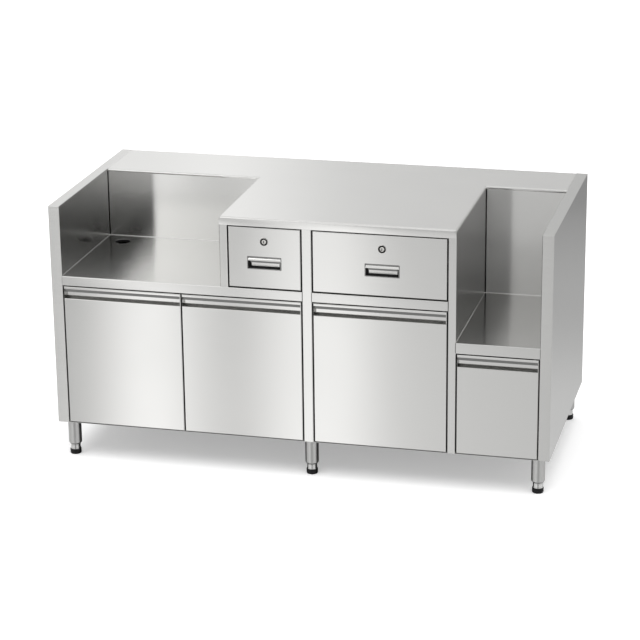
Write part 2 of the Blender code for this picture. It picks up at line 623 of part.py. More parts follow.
def legs(steel, black):
    """Six tube legs under plates, each with a levelling foot whose stem runs in the tube's lower plug."""
    across = {"left": LEFT + LEG_INSET, "middle": (SMALL_RIGHT + LARGE_LEFT) / 2, "right": RIGHT - LEG_INSET}
    along = {"front": FRONT + LEG_SETBACK, "rear": BACK - LEG_SETBACK}
    plate_top = BODY_BOTTOM - SEAT
    plate_bottom = plate_top - LEG_PLATE_THICKNESS
    overlap = LEG_PLATE_THICKNESS / 2
    inner = LEG_RADIUS - LEG_WALL
    bore = STEM_RADIUS + SEAT
    tube = [(LEG_RADIUS, plate_bottom + overlap), (LEG_RADIUS, LEG_BOTTOM + LEG_BEVEL_HEIGHT),
            (LEG_RADIUS - LEG_BEVEL_INSET, LEG_BOTTOM), (bore, LEG_BOTTOM),
            (bore, LEG_BOTTOM + LEG_PLUG_HEIGHT), (inner, LEG_BOTTOM + LEG_PLUG_HEIGHT),
            (inner, plate_bottom + overlap)]
    base = [(0, FOOT_HEIGHT + STEM_LENGTH), (STEM_RADIUS, FOOT_HEIGHT + STEM_LENGTH), (STEM_RADIUS, FOOT_HEIGHT),
            (NECK_RADIUS, FOOT_HEIGHT), (NECK_RADIUS, FOOT_HEIGHT - NECK_HEIGHT), (BASE_RADIUS, BASE_HEIGHT),
            (BASE_RADIUS, BASE_ROUND), (BASE_RADIUS - BASE_ROUND, 0), (0, 0)]
    for row, y in along.items():
        for side, x in across.items():
            place = Matrix.Translation((x, y, 0))
            half = LEG_PLATE / 2
            leg = turned("leg_{}_{}".format(row, side), tube, place, steel)
            low = (x - half, y - half, plate_bottom)
            combine(leg, block("plate", low, (x + half, y + half, plate_top), steel), "UNION")
            foot = turned("foot_{}_{}".format(row, side), base, place, black, closed=False)
            carry([foot], "foot_axis_{}_{}".format(row, side), (x, y, 0))


def main():
    clear_scene()
    steel = make_material("brushed_steel", STEEL_COLOR, 0.32, 1.0)
    lining = make_material("plain_steel", LINING_COLOR, 0.40, 1.0)
    zinc = make_material("zinc_plate", ZINC_COLOR, 0.38, 1.0)
    nickel = make_material("lock_nickel", NICKEL_COLOR, 0.22, 1.0)
    black = make_material("black_nylon", BLACK_COLOR, 0.45, 0.0)
    plastic = make_material("catch_plastic", CATCH_COLOR, 0.50, 0.0)
    side_panels(steel, lining)
    worktop(steel)
    shell_sheets(steel, lining)
    decks(steel)
    partitions(steel)
    doors(steel, lining, plastic)
    drawer("small", SMALL_LEFT, SMALL_RIGHT, 0.0, steel, lining, zinc, nickel)
    drawer("large", LARGE_LEFT, LARGE_RIGHT, LARGE_PULL_OFFSET, steel, lining, zinc, nickel)
    legs(steel, black)


main()
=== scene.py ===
"""Looks of the stainless steel cashier counter: brushed sheets, pulls, locks and feet on its solids."""
import json
import math

import bmesh
import bpy
from mathutils import Matrix, Vector

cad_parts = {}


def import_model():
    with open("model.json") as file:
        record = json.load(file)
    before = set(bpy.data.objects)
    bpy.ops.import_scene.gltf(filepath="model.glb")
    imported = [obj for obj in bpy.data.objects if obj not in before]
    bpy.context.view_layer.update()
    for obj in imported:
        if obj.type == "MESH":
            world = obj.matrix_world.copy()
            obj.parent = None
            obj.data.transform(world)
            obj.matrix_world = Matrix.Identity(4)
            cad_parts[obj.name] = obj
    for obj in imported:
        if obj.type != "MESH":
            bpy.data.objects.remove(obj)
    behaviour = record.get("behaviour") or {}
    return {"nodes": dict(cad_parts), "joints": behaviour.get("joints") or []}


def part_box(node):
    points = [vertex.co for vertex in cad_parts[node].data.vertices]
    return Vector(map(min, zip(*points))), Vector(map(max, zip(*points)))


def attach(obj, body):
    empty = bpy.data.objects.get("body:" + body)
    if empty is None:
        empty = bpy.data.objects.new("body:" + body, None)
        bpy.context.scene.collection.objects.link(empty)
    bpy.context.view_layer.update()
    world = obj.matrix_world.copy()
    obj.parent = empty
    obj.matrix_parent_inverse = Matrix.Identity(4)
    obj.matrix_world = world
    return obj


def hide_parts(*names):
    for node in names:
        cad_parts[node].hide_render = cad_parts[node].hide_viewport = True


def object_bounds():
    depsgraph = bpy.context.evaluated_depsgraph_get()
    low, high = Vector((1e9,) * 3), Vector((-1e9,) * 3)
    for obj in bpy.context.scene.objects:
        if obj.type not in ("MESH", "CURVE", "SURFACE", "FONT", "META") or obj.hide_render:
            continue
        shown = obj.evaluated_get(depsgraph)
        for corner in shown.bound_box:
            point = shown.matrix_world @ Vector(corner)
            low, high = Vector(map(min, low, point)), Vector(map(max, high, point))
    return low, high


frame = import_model()
CAD_LOW, CAD_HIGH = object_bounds()

# Sheet and its bends
SHEET = 0.0012
SEAM = 0.0003
BEND_STEPS = 4
PANEL_BEND = 0.0014
EASE = 0.0024
TOP_BEND = 0.006
RAIL_BEND = 0.0026
UPTURN_BEND = 0.0005
RIM_ROUND = 0.0004
TURN_DOWN = 0.010
UPTURN = 0.002
WALL_GAP = 0.0022
UPTURN_START = 0.012

# How nearly faces and edges have to lie where they are looked for
SLACK = 0.00005
FACING = 0.99
FOLD_ANGLE = 1.4
BEND_ANGLE = 0.5
MERGE_DISTANCE = 1e-6

# Cable hole
HOLE_RADIUS = 0.0275
HOLE_PATCH = 1.4 * HOLE_RADIUS
HOLE_SURROUND = 1.6 * HOLE_RADIUS
HOLE_FROM_WALL = 0.075
HOLE_COLLAR = 0.010
HOLE_ROLL = 0.0022
HOLE_ROLL_STEPS = 5
HOLE_SIDES = 48

# Door pins and grooves
PIN_RADIUS = 0.004
PIN_CHAMFER = 0.0008
PIN_STEPS = 32
REAR_ROUND = SHEET * 0.8
LIP_HEIGHT = 0.0082
GROOVE_DEPTH = 0.0185
GROOVE_HEIGHT = 0.0445
LEDGE_RISE = 0.0085
LEDGE_BEND = 0.0012
STRIP_FRONT = 0.007
STRIP_HEIGHT = 0.0205

# Pulls
PULL_FRAME = 0.0009
PULL_CORNER = 0.002
PULL_TAPER = 0.0085
PULL_FLOOR_RISE = 0.0048
SHADE_RING_WIDTH = 0.0015
PULL_FLOOR_ROUND = 0.0012
POCKET_INSET = 0.01
POCKET_SLACK = 0.001
BACKING_HEIGHT = 0.021
BACKING_DEPTH = 0.0065
# Depth behind the frame and drop below its inner edge, down the bowed lip and round its hem
HOOK_PROFILE = [(0.0042, 0.0028), (0.0022, 0.0062), (0.0008, 0.0090), (0.0002, 0.0112), (0.0, 0.0126),
                (0.0006, 0.0134), (0.0013, 0.0126)]

# Locks
PLUG_RADIUS = 0.0055
COLLAR_RADIUS = 0.0084
WELL_RADIUS = 0.0134
BEZEL_RADIUS = 0.0148
BEZEL_TAIL = 0.75 * BEZEL_RADIUS
COLLAR_CHAMFER = 0.0007
COLLAR_DISH = 0.0002
PLUG_CHAMFER = 0.0004
WELL_DEPTH = 0.0016
KEY_SLOT = Vector((0.0035, 0.0090))
KEY_SLOT_DEPTH = 0.003
LOCK_POCKET = 0.008
TURNED_STEPS = 64
TURNED_SHARP = 50

# Legs and feet
LEG_RADIUS = 0.024
LEG_PLATE_THICKNESS = 0.003
LEG_BEVEL_HEIGHT = 0.006
LEG_BEVEL_INSET = 0.0045
LEG_PLATE_CORNER = 0.006
SHOULDER_RISE = 0.0012
SHOULDER_INSET = 0.0004
TUBE_END_RISE = 0.0006
TUBE_END_INSET = 0.0008
NECK_RADIUS = 0.0178
NECK_CHAMFER = 0.0008
NECK_BOTTOM = 0.027
NECK_FLARE_RISE = 0.001
NECK_FLARE_INSET = 0.002
NECK_SEAT = 0.0005
BASE_RADIUS = 0.0205
BASE_TOP = 0.019
BASE_EDGE = 0.0015
BASE_GROOVE_TOP = BASE_TOP - 0.004
BASE_GROOVE_BOTTOM = BASE_TOP - 0.006
BASE_GROOVE_DEPTH = 0.0005
BASE_ROUND = 0.004

# Places, read from the solids
PANEL_LOW, PANEL_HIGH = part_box("side_panel_left")
FRONT = PANEL_LOW.y
BACK = PANEL_HIGH.y
TOP = PANEL_HIGH.z
LEFT_INSIDE = PANEL_HIGH.x
RIGHT_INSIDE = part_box("side_panel_right")[0].x
BLOCK_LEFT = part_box("partition_left")[0].x
BLOCK_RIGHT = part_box("partition_right")[1].x
LEFT_WELL_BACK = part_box("well_wall_left")[0].y
RIGHT_WELL_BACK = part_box("well_wall_right")[0].y
FASCIA_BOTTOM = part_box("worktop")[0].z


# Node helpers

def input_socket(node, key):
    """An input by its name, with _ for a space, or by its number after an n."""
    if key[0] == "n" and key[1:].isdigit():
        return node.inputs[int(key[1:])]
    return node.inputs[key.replace("_", " ")]


def set_input(tree, socket, value):
    """Set an input, or link it where the value is another node's output."""
    if isinstance(value, bpy.types.NodeSocket):
        tree.links.new(value, socket)
    else:
        socket.default_value = value


def add_node(tree, kind, **inputs):
    """A shader node with some of its inputs set or linked."""
    node = tree.nodes.new("ShaderNode" + kind)
    for key, value in inputs.items():
        set_input(tree, input_socket(node, key), value)
    return node


def mix(tree, factor, first, second, kind="RGBA", blend="MIX"):
    """A mix of two colours or vectors. Its kind is set first, because the inputs' names depend on it."""
    node = tree.nodes.new("ShaderNodeMix")
    node.data_type = kind
    node.blend_type = blend
    for key, value in (("Factor", factor), ("A", first), ("B", second)):
        set_input(tree, node.inputs[key], value)
    return node.outputs["Result"]


def grey(level):
    return (level, level, level, 1.0)


def math_node(tree, operation, first, second=0.0, clamp=False):
    node = add_node(tree, "Math", n0=first, n1=second)
    node.operation = operation
    node.use_clamp = clamp
    return node.outputs[0]


def ramp(tree, factor, stops, interpolation="EASE"):
    """A ramp of grey levels over a factor, from (place, level) stops."""
    node = add_node(tree, "ValToRGB", Fac=factor)
    node.color_ramp.interpolation = interpolation
    elements = node.color_ramp.elements
    while len(elements) < len(stops):
        elements.new(0.5)
    for element, (place, level) in zip(elements, stops):
        element.position = place
        element.color = grey(level)
    return node.outputs["Color"]


def spread(tree, value, low, high):
    """Map a value from 0 to 1 onto a range."""
    node = add_node(tree, "MapRange", Value=value, To_Min=low, To_Max=high)
    return node.outputs["Result"]


def tint(tree, color, level):
    """A colour times a grey level."""
    return mix(tree, 1.0, (*color, 1.0), level, blend="MULTIPLY")


def object_place(tree):
    return add_node(tree, "TexCoord").outputs["Object"]


def noise(tree, place, scale, detail=2.0, roughness=0.5):
    """Noise levels from 0 to 1."""
    node = add_node(tree, "TexNoise", Vector=place, Scale=scale, Detail=detail, Roughness=roughness)
    return node.outputs["Fac"]


def surface(tree, shader, color, rough, depth, height):
    """Link a finish's colour and roughness, and its fine relief of a real depth."""
    bump = add_node(tree, "Bump", Strength=1.0, Distance=depth, Height=height)
    links = {"Base Color": color, "Roughness": rough, "Normal": bump.outputs["Normal"]}
    for key, output in links.items():
        tree.links.new(output, shader.inputs[key])


def new_material(name):
    material = bpy.data.materials.new(name)
    material.use_nodes = True
    return material, material.node_tree, material.node_tree.nodes["Principled BSDF"]


# Finishes

GRAIN_LENGTH = 5.0
GRAIN_FINENESS = 900.0
GRAIN_DEPTH = 0.0000015
FINE_NOISE = {"detail": 3.0, "roughness": 0.6}
STREAK_SHADE = 0.10
STREAK_SHINE = 0.06
STREAK_ROUGHNESS = 0.03
BLOTCH_SIZE = 4.0
BLOTCH_LEVELS = (0.97, 1.02)
BLOTCH_ROUGHNESS = 0.02
SPECK_LEVELS = (0.94, 1.05)
METAL_CLOUD_SIZE = 60
METAL_CLOUD_LEVELS = (0.92, 1.06)
METAL_CLOUD_ROUGHNESS = 0.06
PLASTIC_CLOUD_SIZE = 30
PLASTIC_CLOUD_LEVELS = (0.85, 1.15)
PEBBLE_ROUGHNESS = 0.08
LEVEL_FACE = 0.7


def grain_vector(tree):
    """Object coordinates turned so that z always runs across the grain, on upright and on level faces."""
    place = object_place(tree)
    normal = add_node(tree, "NewGeometry").outputs["Normal"]
    upward = add_node(tree, "SeparateXYZ", Vector=normal).outputs["Z"]
    level = math_node(tree, "GREATER_THAN", math_node(tree, "ABSOLUTE", upward), LEVEL_FACE)
    parts = add_node(tree, "SeparateXYZ", Vector=place).outputs
    swapped = add_node(tree, "CombineXYZ", X=parts["X"], Y=parts["Z"], Z=parts["Y"])
    return place, mix(tree, level, place, swapped.outputs["Vector"], kind="VECTOR"), level


def brushed_steel(name, color, roughness, anisotropy=0.9, grain=1.0, metallic=1.0):
    """Stainless steel brushed along its length, with fine streaks and soft blotches."""
    material, tree, shader = new_material(name)
    place, across, level = grain_vector(tree)
    stretched = add_node(tree, "Mapping", Vector=across, Scale=(GRAIN_LENGTH, GRAIN_LENGTH, GRAIN_FINENESS))
    streaks = noise(tree, stretched.outputs["Vector"], 1.0, **FINE_NOISE)
    blotches = noise(tree, place, BLOTCH_SIZE)
    streaked = spread(tree, streaks, 1 - STREAK_SHADE * grain, 1 + STREAK_SHINE * grain)
    shade = math_node(tree, "MULTIPLY", streaked, spread(tree, blotches, *BLOTCH_LEVELS))
    rough = math_node(tree, "ADD", spread(tree, streaks, -STREAK_ROUGHNESS * grain, STREAK_ROUGHNESS * grain),
                      spread(tree, blotches, roughness - BLOTCH_ROUGHNESS, roughness + BLOTCH_ROUGHNESS))
    shader.inputs["Metallic"].default_value = metallic
    shader.inputs["Anisotropic"].default_value = anisotropy
    along = add_node(tree, "CombineXYZ", Y=level, Z=math_node(tree, "SUBTRACT", 1.0, level))
    tree.links.new(along.outputs["Vector"], shader.inputs["Tangent"])
    surface(tree, shader, tint(tree, color, shade), rough, GRAIN_DEPTH * grain, streaks)
    return material


def fine_metal(name, color, roughness, grain_size, depth, metallic=1.0):
    """Plated or mill-finished metal with an even fine grain."""
    material, tree, shader = new_material(name)
    place = object_place(tree)
    specks = noise(tree, place, grain_size, **FINE_NOISE)
    clouds = noise(tree, place, grain_size / METAL_CLOUD_SIZE)
    shade = math_node(tree, "MULTIPLY", spread(tree, specks, *SPECK_LEVELS),
                      spread(tree, clouds, *METAL_CLOUD_LEVELS))
    rough = spread(tree, clouds, roughness - METAL_CLOUD_ROUGHNESS, roughness + METAL_CLOUD_ROUGHNESS)
    shader.inputs["Metallic"].default_value = metallic
    surface(tree, shader, tint(tree, color, shade), rough, depth, specks)
    return material


def moulded_plastic(name, color, roughness, pebble_size, depth, gloss=0.5):
    """Moulded plastic with a fine pebbled skin."""
    material, tree, shader = new_material(name)
    place = object_place(tree)
    pebbles = noise(tree, place, pebble_size)
    clouds = noise(tree, place, pebble_size / PLASTIC_CLOUD_SIZE)
    shade = spread(tree, clouds, *PLASTIC_CLOUD_LEVELS)
    rough = spread(tree, pebbles, roughness - PEBBLE_ROUGHNESS, roughness + PEBBLE_ROUGHNESS)
    shader.inputs["Specular IOR Level"].default_value = gloss
    surface(tree, shader, tint(tree, color, shade), rough, depth, pebbles)
    return material


STEEL_COLOR = (0.775, 0.772, 0.757)
FRONT_STEEL = brushed_steel("front_steel", STEEL_COLOR, 0.125, anisotropy=1.0, grain=0.6)
TOP_STEEL = brushed_steel("top_steel", STEEL_COLOR, 0.20, metallic=0.85)
PANEL_STEEL = brushed_steel("panel_steel", STEEL_COLOR, 0.20)
WELL_STEEL = brushed_steel("well_steel", STEEL_COLOR, 0.15, anisotropy=1.0, grain=0.3)
SATIN_STEEL = brushed_steel("satin_steel", STEEL_COLOR, 0.15, anisotropy=1.0, grain=0.3, metallic=0.62)
LINING_STEEL = brushed_steel("lining_steel", STEEL_COLOR, 0.13, anisotropy=1.0, grain=0.3)
# The steel again at half its colour, for the block's wall into the right well: painted shade for the dark
# that wall mirrors
PAINTED_SHADE_BLOCK_STEEL = brushed_steel("painted_shade_block_steel", (0.36, 0.358, 0.35), 0.13, anisotropy=1.0, grain=0.3)
TUBE_STEEL = brushed_steel("tube_steel", (0.62, 0.62, 0.61), 0.32, anisotropy=0.0, grain=0.5)
NECK_STEEL = fine_metal("neck_steel", (0.80, 0.80, 0.79), 0.18, 1200.0, 0.000001)
# Dark steel behind the door and pull lips: painted shade under the lips
PAINTED_SHADE_STEEL = fine_metal("painted_shade_steel", (0.24, 0.24, 0.235), 0.30, 900.0, 0.000002)
MILL_STEEL = fine_metal("mill_steel", (0.62, 0.62, 0.61), 0.36, 900.0, 0.000002, metallic=0.6)
PIN_STEEL = fine_metal("pin_steel", (0.16, 0.16, 0.16), 0.42, 900.0, 0.000002)
ZINC = fine_metal("zinc_plate", (0.55, 0.56, 0.58), 0.36, 600.0, 0.000004)
NICKEL = fine_metal("lock_nickel", (0.86, 0.85, 0.82), 0.16, 1500.0, 0.000001)
# Near-black plastic as painted shade: inside the cable hole's collar, the pull cups' floors and sides, the
# ring round each pull, the lock's well and the key slot
PAINTED_SHADE_BLACK = moulded_plastic("painted_shade_black", (0.020, 0.020, 0.020), 0.6, 3000.0, 0.000002, gloss=0.1)
BLACK_NYLON = moulded_plastic("black_nylon", (0.008, 0.008, 0.009), 0.40, 2600.0, 0.00002, gloss=0.25)
PALE_PLASTIC = moulded_plastic("catch_plastic", (0.70, 0.70, 0.68), 0.5, 2200.0, 0.00001)


# Mesh helpers

def box_mesh(low, high):
    """A bmesh box between two corners."""
    low = Vector(low)
    high = Vector(high)
    mesh_data = bmesh.new()
    place = Matrix.Translation((low + high) / 2) @ Matrix.Diagonal((*(high - low), 1.0))
    bmesh.ops.create_cube(mesh_data, size=1.0, matrix=place)
    mesh_data.normal_update()
    return mesh_data


def round_edges(mesh_data, edges, radius, steps=BEND_STEPS):
    bmesh.ops.bevel(mesh_data, geom=list(edges), offset=radius, offset_type="OFFSET", segments=steps,
                    profile=0.5, affect="EDGES", material=-1, clamp_overlap=True)
    mesh_data.normal_update()


def ease_edges(mesh_data, edges):
    """Give edges a flat eased face that catches the light as a fine line."""
    round_edges(mesh_data, edges, EASE, 1)


def lies_at(edge, axis, value):
    """Whether both ends of an edge have the same value on an axis."""
    return all(abs(vert.co[axis] - value) < SLACK for vert in edge.verts)


def edges_at(mesh_data, **places):
    """The edges that lie at the given x, y or z from end to end."""
    wanted = [("xyz".index(axis), value) for axis, value in places.items()]
    return [edge for edge in mesh_data.edges if all(lies_at(edge, axis, value) for axis, value in wanted)]


def lies_on(face, height):
    return all(abs(vert.co.z - height) < SLACK for vert in face.verts)


def flat_faces(mesh_data, height):
    """The level faces at a height."""
    return [face for face in mesh_data.faces if lies_on(face, height)]


def moved_verts(result):
    return [part for part in result["geom"] if isinstance(part, bmesh.types.BMVert)]


def facing(mesh_data, way):
    """The largest of the faces that look along a vector."""
    way = Vector(way)
    faces = [face for face in mesh_data.faces if face.normal.dot(way) > FACING]
    return max(faces, key=lambda face: face.calc_area())


def cut(mesh_data, point, way, faces=None):
    """Cut a whole mesh, or only some of its faces, along a plane."""
    faces = mesh_data.faces[:] if faces is None else faces
    parts = dict.fromkeys(part for face in faces for part in (face, *face.edges, *face.verts))
    bmesh.ops.bisect_plane(mesh_data, geom=list(parts), plane_co=point, plane_no=way)
    mesh_data.normal_update()


def fold(mesh_data, edges, shift):
    """Draw edges out into a strip of sheet, and give back what is new."""
    drawn = bmesh.ops.extrude_edge_only(mesh_data, edges=edges)
    bmesh.ops.translate(mesh_data, vec=shift, verts=moved_verts(drawn))
    return drawn["geom"]


def paint(parts, index):
    """Give the faces among some parts of a mesh another material of their piece."""
    for part in parts:
        if isinstance(part, bmesh.types.BMFace):
            part.material_index = index


def sink(mesh_data, face, shift):
    """Push a face in or out on new side walls, and give it back."""
    pushed = bmesh.ops.extrude_discrete_faces(mesh_data, faces=[face])["faces"][0]
    bmesh.ops.translate(mesh_data, vec=shift, verts=pushed.verts)
    mesh_data.normal_update()
    return pushed


def place_mesh(name, mesh_data):
    """An object in the scene from a bmesh, which is then done with."""
    mesh = bpy.data.meshes.new(name)
    mesh_data.to_mesh(mesh)
    mesh_data.free()
    item = bpy.data.objects.new(name, mesh)
    bpy.context.scene.collection.objects.link(item)
    return item


def finish_piece(name, mesh_data, material, body, nodes, thickness=0.0, sharp=35.0):
    """Make a mesh a finished piece that rides on a body and stands for its CAD nodes."""
    piece = place_mesh(name, mesh_data)
    piece.data.shade_smooth()
    piece.data.set_sharp_from_angle(angle=math.radians(sharp))
    piece.data.materials.append(material)
    if thickness:
        wall = piece.modifiers.new("Thickness", "SOLIDIFY")
        wall.thickness = thickness
        wall.offset = -1.0
        wall.use_even_offset = True
    weigh = piece.modifiers.new("Flat faces", "WEIGHTED_NORMAL")
    weigh.keep_sharp = True
    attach(piece, body)
    if nodes:
        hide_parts(*nodes)
    return piece


def turned_mesh(profile, place, steps=TURNED_STEPS):
    """A turned shape: (radius, height) points spun round the z axis, then put in place by a matrix."""
    mesh_data = bmesh.new()
    points = [mesh_data.verts.new((radius, 0.0, height)) for radius, height in profile]
    edges = [mesh_data.edges.new(pair) for pair in zip(points, points[1:])]
    bmesh.ops.spin(mesh_data, geom=points + edges, cent=(0, 0, 0), axis=(0, 0, 1), angle=math.tau,
                   steps=steps, use_merge=True)
    bmesh.ops.remove_doubles(mesh_data, verts=mesh_data.verts, dist=MERGE_DISTANCE)
    bmesh.ops.transform(mesh_data, matrix=place, verts=mesh_data.verts)
    bmesh.ops.recalc_face_normals(mesh_data, faces=mesh_data.faces)
    return mesh_data


def turned_piece(name, profile, place, material, body, nodes):
    """A finished piece of a turned shape."""
    finish_piece(name, turned_mesh(profile, place), material, body, nodes, sharp=TURNED_SHARP)


def arc(center, radius, start, end, steps):
    """Points of a profile along an arc, with angles in degrees."""
    angles = [math.radians(start + (end - start) * step / steps) for step in range(steps + 1)]
    return [(center[0] + radius * math.cos(angle), center[1] + radius * math.sin(angle)) for angle in angles]


# Body sheets

def side_panel(side):
    """A side panel: a folded tray with eased inner edges along its well, and the lining let into it."""
    low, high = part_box("side_panel_" + side)
    inner = high.x if side == "left" else low.x
    inward = 1 if side == "left" else -1
    well_back = LEFT_WELL_BACK if side == "left" else RIGHT_WELL_BACK
    mesh_data = box_mesh(low, high)
    outer_edges = [edge for edge in mesh_data.edges if not lies_at(edge, 0, inner)]
    round_edges(mesh_data, outer_edges, PANEL_BEND)
    cut(mesh_data, (0, well_back, 0), (0, 1, 0))
    seen = []
    for edge in mesh_data.edges:
        along_well = max(vert.co.y for vert in edge.verts) < well_back + SEAM
        upper = min(vert.co.z for vert in edge.verts) > TOP - 2 * PANEL_BEND
        forward = max(vert.co.y for vert in edge.verts) < FRONT + 2 * PANEL_BEND
        if lies_at(edge, 0, inner) and along_well and (upper or forward):
            seen.append(edge)
    ease_edges(mesh_data, seen)
    inner_faces = [face for face in mesh_data.faces if face.normal.x * inward > FACING]
    bmesh.ops.inset_region(mesh_data, faces=inner_faces, thickness=SEAM, use_even_offset=True)
    recess = bmesh.ops.extrude_face_region(mesh_data, geom=inner_faces)
    bmesh.ops.translate(mesh_data, vec=(-inward * (SHEET + SEAM), 0, 0), verts=moved_verts(recess))
    bmesh.ops.delete(mesh_data, geom=inner_faces, context="FACES_ONLY")
    mesh_data.normal_update()
    finish_piece("panel_" + side, mesh_data, PANEL_STEEL, "counter", ["side_panel_" + side])
    lining(side)


def lining(side):
    """The flat inner sheet of a side panel."""
    node = "side_lining_" + side
    low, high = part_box(node)
    mesh_data = box_mesh((low.x, FRONT + EASE + 2 * SEAM, low.z), (high.x, high.y, TOP - EASE - 2 * SEAM))
    inner = high.x if side == "left" else low.x
    round_edges(mesh_data, edges_at(mesh_data, x=inner), RIM_ROUND, 2)
    finish_piece("lining_" + side, mesh_data, LINING_STEEL, "counter", [node])


def worktop():
    """The T-shaped top: a flat sheet whose edges turn down, deeper along the front."""
    left = LEFT_INSIDE + SEAM
    right = RIGHT_INSIDE - SEAM
    outline = [(left, BACK), (left, LEFT_WELL_BACK), (BLOCK_LEFT, LEFT_WELL_BACK), (BLOCK_LEFT, FRONT),
               (BLOCK_RIGHT, FRONT), (BLOCK_RIGHT, RIGHT_WELL_BACK), (right, RIGHT_WELL_BACK), (right, BACK)]
    mesh_data = bmesh.new()
    mesh_data.faces.new([mesh_data.verts.new((x, y, TOP)) for x, y in outline])
    mesh_data.normal_update()
    fold(mesh_data, list(mesh_data.edges), (0, 0, -TURN_DOWN))
    hem = edges_at(mesh_data, y=FRONT, z=TOP - TURN_DOWN)
    fold(mesh_data, hem, (0, 0, FASCIA_BOTTOM - TOP + TURN_DOWN))
    face_up(mesh_data, TOP)
    bends = []
    for edge in mesh_data.edges:
        against_panel = lies_at(edge, 0, left) or lies_at(edge, 0, right)
        if len(edge.link_faces) == 2 and not against_panel and edge.calc_face_angle() > BEND_ANGLE:
            bends.append(edge)
    round_edges(mesh_data, bends, TOP_BEND)
    paint([face for face in mesh_data.faces if face.normal.y < -FACING], 1)
    sheet = finish_piece("top_sheet", mesh_data, TOP_STEEL, "counter", ["worktop"],
                         thickness=SHEET)
    sheet.data.materials.append(FRONT_STEEL)


def well_wall(side):
    """The back wall of a well, from behind the deck's upturn to the top's turned-down edge."""
    low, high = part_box("well_wall_" + side)
    low.x += WALL_GAP
    high.z = TOP - TURN_DOWN - SEAM
    mesh_data = box_mesh(low, high)
    round_edges(mesh_data, edges_at(mesh_data, z=high.z), RIM_ROUND, 2)
    finish = WELL_STEEL if side == "left" else SATIN_STEEL
    finish_piece("wall_" + side, mesh_data, finish, "counter", ["well_wall_" + side])


def hole_middle(height):
    """The middle of the cable hole at a height."""
    return Vector((LEFT_INSIDE + HOLE_FROM_WALL, LEFT_WELL_BACK - HOLE_FROM_WALL, height))


def near_hole(edge, height):
    return all((vert.co - hole_middle(height)).length < HOLE_SURROUND for vert in edge.verts)


def cut_cable_hole(mesh_data, height):
    """Cut the round cable hole in a deck's flat face, with a rolled rim that turns down into a collar, whose
    inside is painted black as painted shade.
    """
    middle = hole_middle(height)
    for way in (Vector((1, 0, 0)), Vector((0, 1, 0))):
        for side in (-HOLE_PATCH, HOLE_PATCH):
            cut(mesh_data, middle + way * side, way, flat_faces(mesh_data, height))
    patch = min(flat_faces(mesh_data, height), key=lambda face: (face.calc_center_median() - middle).length)
    square = list(patch.edges)
    bmesh.ops.delete(mesh_data, geom=[patch], context="FACES_ONLY")
    bmesh.ops.subdivide_edges(mesh_data, edges=square, cuts=HOLE_SIDES // 4 - 1)
    square = [edge for edge in edges_at(mesh_data, z=height) if len(edge.link_faces) == 1
              and all((vert.co - middle).length < 2 * HOLE_PATCH for vert in edge.verts)]
    ring = bmesh.ops.create_circle(mesh_data, segments=HOLE_SIDES, radius=HOLE_RADIUS,
                                   matrix=Matrix.Translation(middle))["verts"]
    circle = list(dict.fromkeys(edge for vert in ring for edge in vert.link_edges))
    bmesh.ops.bridge_loops(mesh_data, edges=square + circle)
    paint(fold(mesh_data, circle, (0, 0, -HOLE_COLLAR)), 1)
    bmesh.ops.recalc_face_normals(mesh_data, faces=mesh_data.faces)
    round_edges(mesh_data, circle, HOLE_ROLL, HOLE_ROLL_STEPS)


def folds(mesh_data):
    """The edges along which a sheet is folded square."""
    return [edge for edge in mesh_data.edges
            if len(edge.link_faces) == 2 and edge.calc_face_angle() > FOLD_ANGLE]


def deck(node, piece, well_right=None, well_back=None, hole=False):
    """A deck with its rail and flange along the front. In a well its edges turn up against the walls."""
    low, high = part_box(node)
    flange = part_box("door_catch_right")[1].y
    in_well = well_right is not None
    rear = well_back - SEAM if in_well else high.y
    left = max(low.x, LEFT_INSIDE + SEAM)
    right = min(high.x, RIGHT_INSIDE - SEAM)
    corners = [(left, FRONT), (right, FRONT), (right, rear), (left, rear)]
    mesh_data = bmesh.new()
    mesh_data.faces.new([mesh_data.verts.new((x, y, high.z)) for x, y in corners])
    if in_well:
        cut(mesh_data, (0, FRONT + UPTURN_START, 0), (0, 1, 0))
        cut(mesh_data, (well_right, 0, 0), (1, 0, 0))
        walled = upturn_edges(mesh_data, left, right, well_right, rear)
        paint(fold(mesh_data, walled, (0, 0, UPTURN)), 2)
    fold(mesh_data, edges_at(mesh_data, y=FRONT, z=high.z), (0, 0, low.z - high.z))
    fold(mesh_data, edges_at(mesh_data, y=FRONT, z=low.z), (0, flange - FRONT, 0))
    face_up(mesh_data, high.z)
    if hole:
        cut_cable_hole(mesh_data, high.z)
        face_up(mesh_data, high.z)
    round_edges(mesh_data, [edge for edge in folds(mesh_data) if lies_at(edge, 1, FRONT)], RAIL_BEND)
    away = [edge for edge in folds(mesh_data) if not (hole and near_hole(edge, high.z))]
    round_edges(mesh_data, away, UPTURN_BEND)
    sheet = finish_piece(piece, mesh_data, WELL_STEEL, "counter", [node], thickness=SHEET)
    # Material 1 is the black of the cable hole's collar: painted shade
    sheet.data.materials.append(PAINTED_SHADE_BLACK)
    sheet.data.materials.append(SATIN_STEEL)


def upturn_edges(mesh_data, left, right, well_right, rear):
    """The edges of a deck that lie against the well's side and back walls, behind the rail."""
    found = []
    for edge in mesh_data.edges:
        behind_rail = min(vert.co.y for vert in edge.verts) > FRONT + UPTURN_START / 2
        at_side = lies_at(edge, 0, left) or lies_at(edge, 0, right)
        at_back = lies_at(edge, 1, rear) and max(vert.co.x for vert in edge.verts) < well_right + SEAM
        if behind_rail and (at_side or at_back):
            found.append(edge)
    return found


def face_up(mesh_data, height):
    """Point a sheet's faces so that its flat part at a height looks up."""
    bmesh.ops.recalc_face_normals(mesh_data, faces=mesh_data.faces)
    mesh_data.normal_update()
    if sum(face.normal.z * face.calc_area() for face in flat_faces(mesh_data, height)) < 0:
        bmesh.ops.reverse_faces(mesh_data, faces=mesh_data.faces)
        mesh_data.normal_update()


